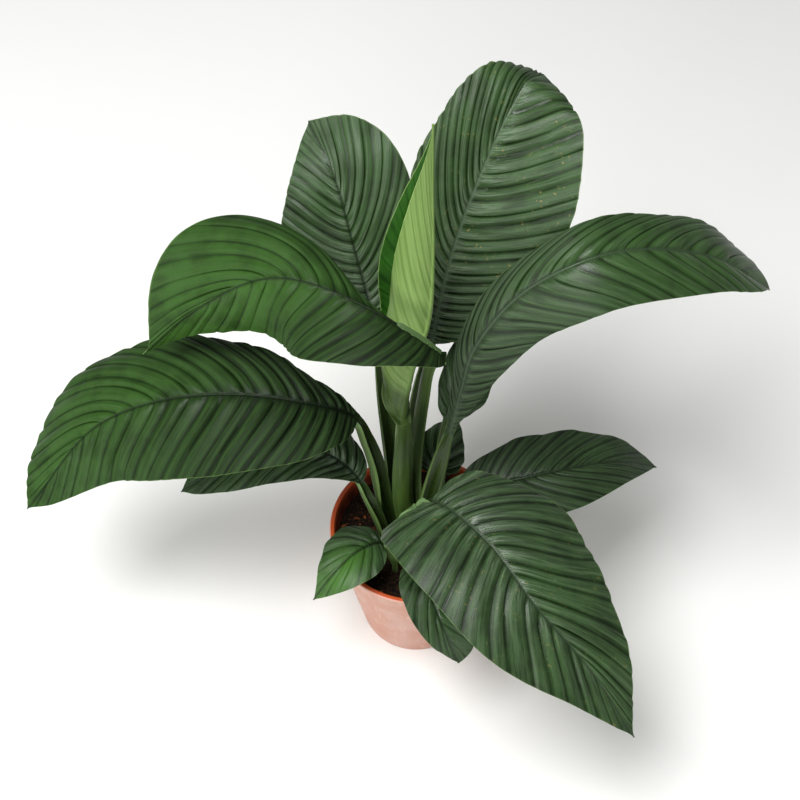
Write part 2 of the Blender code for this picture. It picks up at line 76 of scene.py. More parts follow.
# Where the leaves start, and what their stalks and blades measure
FOOT_BOTTOM = 148 * MM
FOOT_TOP = 178 * MM
FOOT_HALF_WIDTH = 6 * MM
SHEATH_HALF_WIDTH = 11 * MM
SHEATH_REACH = 0.85
NECK_HALF_WIDTH = 4.8 * MM
STALK_THICKNESS = 9.5 * MM
STALK_EDGE = 1.8 * MM
RIB_THICKNESS = 3.4 * MM
RIB_TIP_THICKNESS = 1.2 * MM
RIB_HALF_WIDTH = 3.0 * MM
RIB_GROOVE = 0.9 * MM
TIP_HALF_WIDTH = 0.6 * MM
LAST_VEIN = 0.9
TIP_SHARE = 0.07
LOBE_SHARE = 0.08
STALK_FOLD = math.radians(12)
SHEATH_FOLD = math.radians(35)
NECK_SHARE = 0.06
OPENING_SHARE = 0.12
FLAT_BESIDE_RIB = 8 * MM
GROOVE_HALF_WIDTH = 1.8 * MM
RIB_TINT_HALF_WIDTHS = (2.6 * MM, 1.2 * MM)
FULL_PLEATS_FROM = 30 * MM
FULL_GROOVE_FROM = 20 * MM
STALK_STEP = 4 * MM
RIB_COLUMNS = 5
TIP_ROWS = 16

# What each point of a leaf tells its material
FACTS = ("vein", "across", "along", "rib", "fresh", "age", "dusk", "pale", "veil")


@dataclass
class Leaf:
    """One leaf: where it runs, how wide it is, how its two halves hang and what its green is like.

    Lengths are in metres and angles in degrees, and a pair is for the left half and the right half.

    root is where it stands in the soil. stalk and rib are points that it passes through, and rib runs from
    the foot of the blade to its tip. sheath is how far the wings of the stalk's sheath reach, stout scales
    the stalk, and stalk_twist turns it between the blade's foot and the soil.
    face is the azimuth and elevation of the way the upper side looks half way up the blade, and twist turns
    that from the blade's foot to its tip.
    belly is the share of the blade's length where a half is widest, taper how fast it narrows from there
    and lobe how far it reaches back past the blade's foot. skew makes the right half wider and the left
    half narrower by that share.
    fold lifts a half from the midrib at the blade's foot, and fold_tip at its tip; unfold over 1 holds it
    near the foot's value for longer. curl bends a half down towards its margin where it is widest; cone 1
    bends it as far where it is narrower, which rolls it into a cone.
    sweep is how far forward the veins run before they meet the margin. With bow 1 they run straight, and
    above that they bend forward. relief scales the height of the pleats. wave is how high the margin's
    waves are, and waves how many there are.
    fresh is how far the green brightens towards the tip. dusk is how dark the blade is towards its foot,
    partly its own deeper green and partly painted shade from the leaves above. veil is how much painted
    silvery sheen stands for the light that its wax catches. pale_rib is how pale the midrib is and age how
    many old marks the blade shows. A dull leaf has little wax.
    """

    name: str
    root: tuple
    stalk: tuple
    rib: tuple
    face: tuple
    width: float
    pleats: int
    fold: tuple = (15, 15)
    fold_tip: tuple = (10, 10)
    curl: tuple = (35, 35)
    twist: float = 0
    skew: float = 0
    lobe: tuple = (0, 0)
    belly: tuple = (0.40, 0.40)
    taper: tuple = (0.85, 0.85)
    unfold: float = 1
    cone: float = 0
    sweep: tuple = (7.3, 7.3)
    bow: float = 1.4
    wave: float = 2 * MM
    waves: float = 4
    sheath: tuple = (SHEATH_HALF_WIDTH, SHEATH_HALF_WIDTH)
    stalk_twist: float = 0
    stout: float = 1
    relief: float = 1
    fresh: tuple = (0.1, 0.1)
    dusk: float = 0.2
    veil: float = 0
    pale_rib: float = 0.2
    dull: bool = False
    age: float = 0


LEAVES = (
    Leaf(
        "leaf_back_tall",
        root=(-0.004, 0.016), stalk=((-0.003, 0.033, 0.27), (0.002, 0.051, 0.39)),
        rib=((0.014, 0.065, 0.468), (0.037, 0.110, 0.576), (0.064, 0.146, 0.650), (0.092, 0.182, 0.702),
             (0.110, 0.206, 0.720), (0.130, 0.232, 0.705)),
        face=(-100, 35), width=182 * MM, pleats=24, fold_tip=(-12, 14), curl=(45, 0), belly=(0.55, 0.53),
        taper=(0.51, 0.62), skew=0.20, sheath=(11 * MM, 7 * MM),
        sweep=(8, 3), pale_rib=0.7, age=0.6, relief=1.4, veil=0.3,
    ),
    Leaf(
        "leaf_back_left",
        root=(-0.022, 0.018), stalk=((-0.030, 0.034, 0.32), (-0.040, 0.055, 0.42)),
        rib=((-0.045, 0.074, 0.460), (-0.072, 0.134, 0.560), (-0.093, 0.181, 0.620), (-0.118, 0.231, 0.640)),
        face=(-95, 45), width=152 * MM, pleats=21, fold=(15, 2), fold_tip=(10, 2), curl=(45, 10),
        belly=(0.47, 0.61), taper=(1.00, 0.56), skew=0.01,
        sweep=(3, 8), pale_rib=0, veil=0.35,
    ),
    Leaf(
        "leaf_upper_left",
        root=(0.007, 0.004), stalk=((0.000, 0.012, 0.30), (0.008, 0.019, 0.43), (0.016, 0.003, 0.51)),
        rib=((0.026, -0.023, 0.556), (-0.033, -0.008, 0.602), (-0.142, 0.041, 0.605), (-0.238, 0.059, 0.530),
             (-0.301, 0.054, 0.460)),
        face=(-90, 55), width=162 * MM, pleats=22, fold=(30, -118), fold_tip=(-40, 20), curl=(30, -20),
        twist=-90, belly=(0.42, 0.65), taper=(1.15, 2.00), skew=0.045, lobe=(8 * MM, 8 * MM),
        sheath=(7 * MM, 7 * MM),
        sweep=(3.5, 8), fresh=(0.6, 0.35), dusk=0.8, pale_rib=0, dull=True,
    ),
    Leaf(
        "leaf_lower_left",
        root=(-0.031, 0.000), stalk=((-0.041, 0.002, 0.275), (-0.055, 0.004, 0.366)),
        rib=((-0.067, 0.005, 0.409), (-0.134, 0.006, 0.440), (-0.216, 0.015, 0.440), (-0.352, 0.018, 0.384),
             (-0.452, -0.025, 0.270)),
        face=(-90, 75), width=186 * MM, pleats=22, fold=(25, -10), fold_tip=(-15, 12), belly=(0.38, 0.55),
        taper=(0.88, 0.82),
        sheath=(15 * MM, 10 * MM), stalk_twist=-70, twist=-10, relief=1.4,
        sweep=(3, 6), fresh=(0.2, 0.3), dusk=0.9, pale_rib=0, dull=True,
    ),
    Leaf(
        "leaf_low_left",
        root=(-0.036, -0.017), stalk=((-0.046, -0.018, 0.240), (-0.058, -0.014, 0.283)),
        rib=((-0.065, -0.006, 0.298), (-0.111, 0.016, 0.330), (-0.168, 0.020, 0.330), (-0.226, 0.006, 0.310),
             (-0.274, -0.008, 0.280)),
        face=(-90, 80), width=88 * MM, pleats=14, belly=(0.48, 0.40), stout=0.7, veil=0.8,
    ),
    Leaf(
        "leaf_upper_right",
        root=(0.002, -0.018), stalk=((0.011, -0.018, 0.26), (0.025, -0.013, 0.35)),
        rib=((0.034, -0.008, 0.400), (0.045, -0.004, 0.475), (0.057, 0.000, 0.540), (0.096, 0.022, 0.593),
             (0.163, 0.036, 0.637), (0.302, 0.088, 0.586), (0.384, 0.110, 0.504)),
        face=(-90, 63), width=106 * MM, pleats=24, fold=(-10, 15), fold_tip=(24, 10), twist=-60,
        belly=(0.84, 0.56), taper=(0.17, 0.75), skew=0.10, relief=0.8,
        sweep=(8, 5), fresh=(0.3, 0.3), dusk=0.9, pale_rib=0.4, veil=0.05,
    ),
    Leaf(
        "leaf_behind_right",
        root=(0.022, 0.016), stalk=((0.026, 0.016, 0.280), (0.029, 0.017, 0.350)),
        rib=((0.032, 0.020, 0.390), (0.042, 0.042, 0.430), (0.053, 0.069, 0.458), (0.067, 0.103, 0.470)),
        face=(-100, 50), width=60 * MM, pleats=6, stout=0.7, skew=0.40,
    ),
    Leaf(
        "leaf_front",
        root=(-0.016, -0.024), stalk=((-0.008, -0.036, 0.240), (0.006, -0.050, 0.310)),
        rib=((0.014, -0.059, 0.340), (0.076, -0.129, 0.365), (0.122, -0.187, 0.340), (0.186, -0.237, 0.280),
             (0.237, -0.283, 0.210)),
        face=(-60, 65), width=190 * MM, pleats=18, fold=(5, 16), fold_tip=(14, 10), lobe=(2 * MM, 42 * MM),
        belly=(0.35, 0.29), taper=(1.15, 1.05), skew=-0.05, relief=1.3,
        sweep=(5, 3), bow=1.25, pale_rib=0.3, age=0.3, veil=0.22,
    ),
    Leaf(
        "leaf_low_right",
        root=(0.026, -0.006), stalk=((0.036, -0.004, 0.230), (0.044, -0.002, 0.262)),
        rib=((0.052, -0.002, 0.275), (0.084, -0.005, 0.290), (0.153, 0.006, 0.300), (0.233, 0.034, 0.280),
             (0.288, 0.053, 0.240)),
        face=(-90, 80), width=106 * MM, pleats=14, belly=(0.40, 0.35), taper=(0.82, 1.10), stout=0.7,
        relief=0.5, fresh=(0, 0), dusk=0.8, pale_rib=0.1,
    ),
    Leaf(
        "leaf_small_front_left",
        root=(-0.024, -0.046), stalk=((-0.029, -0.046, 0.197),),
        rib=((-0.041, -0.039, 0.216), (-0.067, -0.055, 0.228), (-0.095, -0.082, 0.224),
             (-0.121, -0.106, 0.200)),
        face=(-130, 80), width=76 * MM, pleats=8, belly=(0.36, 0.31), taper=(1.05, 1.35), wave=1 * MM,
        stout=0.6, relief=0.7, fresh=(1.0, 0.6), pale_rib=0,
    ),
    Leaf(
        "leaf_small_front",
        root=(-0.002, -0.046), stalk=((-0.002, -0.052, 0.192),),
        rib=((0.000, -0.060, 0.207), (0.009, -0.091, 0.220), (0.026, -0.132, 0.200), (0.049, -0.157, 0.140)),
        face=(-80, 65), width=74 * MM, pleats=8, belly=(0.54, 0.34), taper=(0.43, 1.00), skew=-0.11,
        wave=1 * MM, stout=0.6, relief=0.9,
    ),
    Leaf(
        "leaf_small_right",
        root=(0.012, 0.032), stalk=((0.016, 0.036, 0.220),),
        rib=((0.020, 0.040, 0.245), (0.026, 0.048, 0.275), (0.036, 0.062, 0.290), (0.050, 0.080, 0.295)),
        face=(-100, 60), width=62 * MM, pleats=6, stout=0.6, veil=1.6,
    ),
)

NEW_LEAF = Leaf(
    "leaf_rolled",
    root=(-0.012, -0.004), stalk=((-0.017, -0.009, 0.28), (-0.017, -0.012, 0.38)),
    rib=((-0.017, -0.012, 0.430), (-0.008, -0.001, 0.502), (0.009, 0.017, 0.563), (0.013, 0.040, 0.635),
         (0.012, 0.059, 0.718), (0.011, 0.063, 0.800)),
    face=(150, 0), width=146 * MM, pleats=20, fold=(25, 20), fold_tip=(20, 20), curl=(-150, -135), twist=80,
    belly=(0.42, 0.34), taper=(1.50, 1.50), skew=-0.12, cone=1, wave=0, relief=0.25,
    sheath=(7 * MM, 7 * MM), stout=1.5,
)


# Colours and nodes

def linear(text):
    """A colour written as sRGB hex, turned to linear."""
    parts = [int(text[i:i + 2], 16) / 255 for i in (1, 3, 5)]
    return tuple(part / 12.92 if part <= 0.04045 else ((part + 0.055) / 1.055) ** 2.4 for part in parts)


SMOOTH = {"interpolation_type": "SMOOTHSTEP"}


def add_node(tree, kind, inputs=(), output=None, **settings):
    """Adds a node with its settings and links, and gives the output that it is read from.

    The inputs are named, or else they are for the sockets in use, in their order.
    """
    made = tree.nodes.new("ShaderNode" + kind)
    for name, value in settings.items():
        setattr(made, name, value)
    if not isinstance(inputs, dict):
        in_use = [index for index, socket in enumerate(made.inputs) if socket.enabled]
        inputs = dict(zip(in_use, inputs))
    for key, value in inputs.items():
        socket = made.inputs[key]
        if isinstance(value, bpy.types.NodeSocket):
            tree.links.new(value, socket)
        elif socket.type == "RGBA":
            socket.default_value = (*value[:3], 1)
        else:
            socket.default_value = value
    if output:
        return made.outputs[output]
    return next((socket for socket in made.outputs if socket.enabled), None)


def new_material(name):
    """An empty material, and the function that adds a node to it."""
    made = bpy.data.materials.new(name)
    made.use_nodes = True
    made.node_tree.nodes.clear()
    return made, partial(add_node, made.node_tree)


def layered(add, colour, layers):
    """The colour with tints laid over it in turn, each as strong as the product of its covers.

    A cover is an output, or an output with the two values that a smooth climb takes it between, and after
    them where the climb starts and ends, if not at 0 and 1.
    """
    for tint, *covers in layers:
        covers = [add("MapRange", cover, **SMOOTH) if isinstance(cover, tuple) else cover for cover in covers]
        strength = covers[0]
        for cover in covers[1:]:
            strength = add("Math", (strength, cover), operation="MULTIPLY")
        colour = add("Mix", (strength, colour, tint), data_type="RGBA")
    return colour


# Materials of the plant

@dataclass
class Greens:
    """The colours of one side of a leaf, linear."""

    tissue: tuple
    bright: tuple
    # deep also darkens a blade towards its foot, partly as painted shade; vein is also the painted shade in
    # the sunken veins and the midrib's trough; streak is also the painted highlight on the pleats' flanks.
    deep: tuple
    vein: tuple
    streak: tuple
    rib: tuple
    stalk: tuple
    stalk_deep: tuple
    edge: tuple


def leaf_tissue(name, greens, roughness, bump, stalk_end=(-0.02, 0.03), wax=0.3):
    """Living leaf, pleated along its veins.

    Seen from a step away it is a green with thin darker furrows at the veins, painted as the shade in them,
    fine paler lines along them and a painted grey sheen where the wax catches the light. The stalk is darker
    and plain up to stalk_end, as shares of the blade's length. wax is how much it shines.
    """
    made, add = new_material(name)
    facts = [add("Attribute", output="Fac", attribute_name=fact) for fact in FACTS]
    vein, across, along, rib, fresh, age, dusk, pale, veil = facts
    place = add("TexCoord", output="Object")
    size = add("Math", (across,), operation="ABSOLUTE")
    from_vein = add("Math", (vein, 1.0), operation="PINGPONG")
    blade = add("CombineXYZ", (vein, across))
    # The finest veins lie about 0.8 mm apart. They are drawn 2.5 mm apart, five to a pleat, to show.
    lined = add("VectorMath", (blade, (5.0, 2.4, 0)), operation="MULTIPLY")
    streaks = add("TexNoise", {"Vector": lined, "Scale": 1.0, "Detail": 3.0, "Roughness": 0.65})
    # Whole pleats are lighter or darker than their neighbours over about half their length.
    banded = add("VectorMath", (blade, (0.9, 1.6, 0), (0, 0, 4.0)), operation="MULTIPLY_ADD")
    bands = add("TexNoise", {"Vector": banded, "Scale": 1.0, "Detail": 2.0})
    # Patches of older and younger tissue are about 30 mm across.
    patches = add("TexNoise", {"Vector": place, "Scale": 1 / (31.25 * MM), "Detail": 4.0, "Roughness": 0.55})
    # Old blades carry corky flecks of 1 to 3 mm, the tops of bumps that lie nearly 4 mm apart.
    flecks = add("TexNoise", {"Vector": place, "Scale": 1 / (3.846 * MM), "Detail": 2.0})
    # The stalk is ribbed lengthwise, with seven fine ribs of about 0.7 mm on each side.
    ribbed = add("VectorMath", (add("CombineXYZ", (across, along)), (7.0, 3.0, 0)), operation="MULTIPLY")
    stripes = add("TexNoise", {"Vector": ribbed, "Scale": 1.0, "Detail": 3.0})
    stalk = layered(add, greens.stalk, (
        (greens.stalk_deep, (stripes, 0.35, 0.7)),
        (greens.edge, (size, 0.94, 1.0, 0, 0.3)),
    ))
    midrib = layered(add, greens.deep, ((greens.rib, pale),))
    stalk_reach = add("Math", (size, 0.06, along), operation="MULTIPLY_ADD")
    colour = layered(add, greens.deep, (
        (greens.tissue, (patches, 0.35, 0.65)),
        (greens.streak, (bands, 0.35, 0.75, 0, 0.3)),
        (greens.streak, (streaks, 0.5, 0.75, 0, 0.25)),
        (greens.vein, (streaks, 0.48, 0.3, 0, 0.25)),
        # Darker towards the blade's foot: partly its own deeper green, partly painted shade from the leaves
        # above.
        (greens.deep, dusk),
        (greens.bright, (along, 0.2, 0.95), fresh, (patches, 0.25, 0.6, 0.5, 1)),
        # Painted highlight: the tissue rising out of each sunken vein is painted paler on its flank, as the
        # pleat's crest catches the light.
        (greens.streak, (from_vein, 0.12, 0.5, 0, 0.5), (from_vein, 0.5, 1, 1, 0.4),
         (streaks, 0.3, 0.6, 0.2, 1)),
        # Painted highlight: the wax's silvery sheen on the pleats' crests, strongest beside the midrib.
        (linear("#97A892"), veil, (streaks, 0.4, 0.65, 0.1, 1), (size, 0.05, 0.45, 1, 0.15),
         (from_vein, 0.15, 0.7, 0, 1)),
        # Painted shade: the sunken vein is a dark line, the shade in its furrow.
        (greens.vein, (from_vein, 0.03, 0.18, 0.7, 0), (bands, 0.3, 0.6, 0.5, 1)),
        # Painted shade: a deep green blade is darkest in the trough along its midrib, the shade in that
        # crease.
        (greens.vein, dusk, (size, 0.02, 0.16, 0.7, 0)),
        (linear("#8A7B4A"), (flecks, 0.63, 0.70), (patches, 0.50, 0.60), age),
        (midrib, rib),
        (greens.edge, (size, 0.985, 1.0, 0, 0.35)),
        (stalk, (stalk_reach, *stalk_end, 1, 0)),
    ))
    # Stomata and wax grains are far below a pixel. They are drawn 2 mm across, as a faint unevenness.
    grain = add("TexNoise", {"Vector": place, "Scale": 1 / (2.083 * MM), "Detail": 2.0})
    height = add("Math", (grain, 0.35, streaks), operation="MULTIPLY_ADD")
    normal = add("Bump", {"Strength": 1.0, "Distance": bump, "Height": height})
    # The wax is rubbed smooth along the midrib, and dark tissue shines least.
    rough = add("MapRange", (streaks, 0.3, 0.7, roughness - 0.05, roughness + 0.08), **SMOOTH)
    smoother = add("MapRange", (size, 0.05, 0.45, -0.12, 0.04), **SMOOTH)
    rough = add("Math", (rough, smoother), operation="ADD")
    rough = add("Math", (dusk, 0.2, rough), operation="MULTIPLY_ADD")
    add("OutputMaterial", {"Surface": add("BsdfPrincipled", {
        "Base Color": colour, "Roughness": rough, "Normal": normal, "IOR": 1.45,
        "Specular IOR Level": wax,
    })})
    return made


def hex_greens(tissue, bright, **others):
    """The greens of one side of a leaf. The others are written as sRGB hex."""
    return Greens(tissue, bright, **{part: linear(text) for part, text in others.items()})


def upper_greens(settings, deep, streak):
    return hex_greens(
        settings.green, settings.young_green, deep=deep, vein="#0C1508", streak=streak, rib="#566B50",
        stalk="#304318", stalk_deep="#1D2C11", edge="#688746")


def new_outside_greens(settings):
    return hex_greens(
        settings.new_green, settings.new_green, deep="#5A7836", vein="#566F32", streak="#859E5C",
        rib="#8FA966", stalk="#3C5220", stalk_deep="#2A3E18", edge="#B4CC88")


UNDER_GREENS = hex_greens(
    linear("#4F6A3C"), linear("#5E8340"), deep="#3F5730", vein="#64804C", streak="#72905C", rib="#7C9A58",
    stalk="#3A5020", stalk_deep="#293C18", edge="#7D9C55")

# The inside of the roll is dark green: partly the upper side's own deeper green and partly painted shade
# inside the roll.
NEW_INSIDE_SHADED_GREENS = hex_greens(
    linear("#2A6212"), linear("#2A6212"), deep="#1B4A0A", vein="#153C08", streak="#3B7420", rib="#4A822A",
    stalk="#3C5220", stalk_deep="#2A3E18", edge="#9CBF5E")


# Meshes and objects

def mesh_from(shape, name):
    """A mesh with the shape, which is freed."""
    mesh = bpy.data.meshes.new(name)
    shape.to_mesh(mesh)
    shape.free()
    return mesh


def new_object(name, data):
    """An object in the scene with this mesh, light or camera."""
    made = bpy.data.objects.new(name, data)
    bpy.context.collection.objects.link(made)
    return made


def finished(draft, name, sharp_angle):
    """The draft with its modifiers applied, shaded smooth up to an angle, as the final piece."""
    bpy.context.view_layer.update()
    graph = bpy.context.evaluated_depsgraph_get()
    mesh = bpy.data.meshes.new_from_object(draft.evaluated_get(graph), depsgraph=graph)
    old = draft.data
    bpy.data.objects.remove(draft, do_unlink=True)
    bpy.data.meshes.remove(old)
    mesh.name = name
    mesh.shade_smooth()
    mesh.set_sharp_from_angle(angle=math.radians(sharp_angle))
    return new_object("look_" + name, mesh)


def hand_in(piece, node):
    """Lets the piece ride with the plant and stand for its node, which it hides."""
    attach(piece, "root")
    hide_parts(node)


# Shape of a leaf

def unit(vectors):
    """The vectors scaled to length one."""
    return vectors / np.linalg.norm(vectors, axis=-1, keepdims=True)


def mixed(a, b, share):
    """The value at a share of the way from a to b."""
    return a * (1 - share) + b * share


def smooth(value, low, high):
    """A smooth climb from 0 to 1 while the value goes from low to high."""
    share = np.clip((value - low) / (high - low), 0, 1)
    return share * share * (3 - 2 * share)


def smooth_course(points, count):
    """Points evenly spaced on a smooth curve through the given points."""
    points = np.array(points, float)
    steps = np.linalg.norm(np.diff(points, axis=0), axis=1)
    places = np.concatenate([[0], np.cumsum(steps)])
    slopes = np.gradient(points, places, axis=0)
    fine = np.linspace(0, places[-1], 40 * len(points))
    piece = np.clip(np.searchsorted(places, fine, side="right") - 1, 0, len(points) - 2)
    span = steps[piece]
    t = (fine - places[piece]) / span
    start = (2 * t**3 - 3 * t**2 + 1)[:, None] * points[piece]
    leave = ((t**3 - 2 * t**2 + t) * span)[:, None] * slopes[piece]
    end = (3 * t**2 - 2 * t**3)[:, None] * points[piece + 1]
    arrive = ((t**3 - t**2) * span)[:, None] * slopes[piece + 1]
    curve = start + leave + end + arrive
    along = np.concatenate([[0], np.cumsum(np.linalg.norm(np.diff(curve, axis=0), axis=1))])
    even = np.linspace(0, along[-1], count)
    return np.stack([np.interp(even, along, curve[:, axis]) for axis in range(3)], axis=-1), even


def direction(azimuth, elevation):
    """The unit vector at an azimuth from +X and an elevation, in degrees."""
    azimuth, elevation = math.radians(azimuth), math.radians(elevation)
    flat = math.cos(elevation)
    return np.array([flat * math.cos(azimuth), flat * math.sin(azimuth), math.sin(elevation)])


class Course:
    """The centre line of a leaf. The way that its upper side faces is carried along it without twisting."""

    SAMPLES = 400

    def __init__(self, leaf):
        x, y = leaf.root
        upright = tuple((x, y, z) for z in np.linspace(FOOT_BOTTOM, FOOT_TOP, 4))
        through = (*upright, *leaf.stalk, *leaf.rib)
        self.points, self.along = smooth_course(through, self.SAMPLES)
        self.tangents = unit(np.gradient(self.points, axis=0))
        nearest = np.linalg.norm(self.points - np.array(leaf.rib[0]), axis=1).argmin()
        self.blade_start = self.along[nearest]
        self.blade_length = self.along[-1] - self.blade_start
        middle = (nearest + self.SAMPLES) // 2
        normals = np.zeros_like(self.points)
        normals[middle] = self.square_to(direction(*leaf.face), middle)
        for i in range(middle + 1, self.SAMPLES):
            normals[i] = self.square_to(normals[i - 1], i)
        for i in range(middle - 1, -1, -1):
            normals[i] = self.square_to(normals[i + 1], i)
        sides = np.cross(self.tangents, normals)
        share = np.clip((self.along - self.blade_start) / self.blade_length, 0, 1)
        down = np.clip(1 - self.along / self.blade_start, 0, 1)
        turn = (share - 0.5) * math.radians(leaf.twist) + down * math.radians(leaf.stalk_twist)
        turn = turn[:, None]
        self.normals = np.cos(turn) * normals + np.sin(turn) * sides
        self.sides = np.cross(self.tangents, self.normals)

    def square_to(self, vector, index):
        tangent = self.tangents[index]
        return unit(vector - tangent * vector.dot(tangent))

    def at(self, values, distance):
        return np.stack([np.interp(distance, self.along, values[:, axis]) for axis in range(3)], axis=-1)


def half_width_at(leaf, share, belly, taper):
    """Half the blade's width at a share of its length: round at the foot, pointed at the tip."""
    rise = taper * belly / (1 - belly)
    peak = belly**rise * (1 - belly) ** taper
    to_tip = np.minimum((1 - share) / TIP_SHARE, 1)
    drawn_out = np.sqrt(to_tip * (2 - to_tip))
    return leaf.width / 2 * share**rise * (1 - share) ** taper / peak * drawn_out


def vein_rows(leaf, length, phases):
    """Where the vein at each phase of the pleats runs on the two halves.

    Gives the share of the length where it meets the margin, how far along it leaves the midrib and meets
    the margin, and how wide the halves are there. The veins leave the midrib closer together at its foot,
    and sweep forward to the margin.
    """
    count = 2 * leaf.pleats + 1
    # The veins stand unevenly, except at the blade's foot and tip.
    uneven = phases + 0.22 * np.sin(1.9 * phases + leaf.width * 90) + 0.08 * np.sin(4.3 * phases)
    uneven = mixed(phases, uneven, smooth(phases, -1, 2) * (1 - smooth(phases, count - 4, count - 1)))
    begin = LAST_VEIN * np.clip((uneven + 1) / count, 0, 1) ** 1.5
    begin = mixed(begin, 1, np.clip(uneven + 1 - count, 0, 1))
    sweep = 1 + np.array(leaf.sweep) * leaf.width / 2 / length
    share = 1 - (1 - begin[:, None]) ** sweep
    reach = share / LOBE_SHARE
    back = np.array(leaf.lobe) * reach * np.exp(1 - reach)
    left = half_width_at(leaf, share[:, 0], leaf.belly[0], leaf.taper[0]) * (1 - leaf.skew)
    right = half_width_at(leaf, share[:, 1], leaf.belly[1], leaf.taper[1]) * (1 + leaf.skew)
    ahead = length * share - back
    neck = NECK_HALF_WIDTH * leaf.stout * (1 - smooth(share, 0, NECK_SHARE)) + TIP_HALF_WIDTH
    widths = np.hypot(np.stack([left, right], axis=-1), neck)
    return share, length * begin, ahead, widths


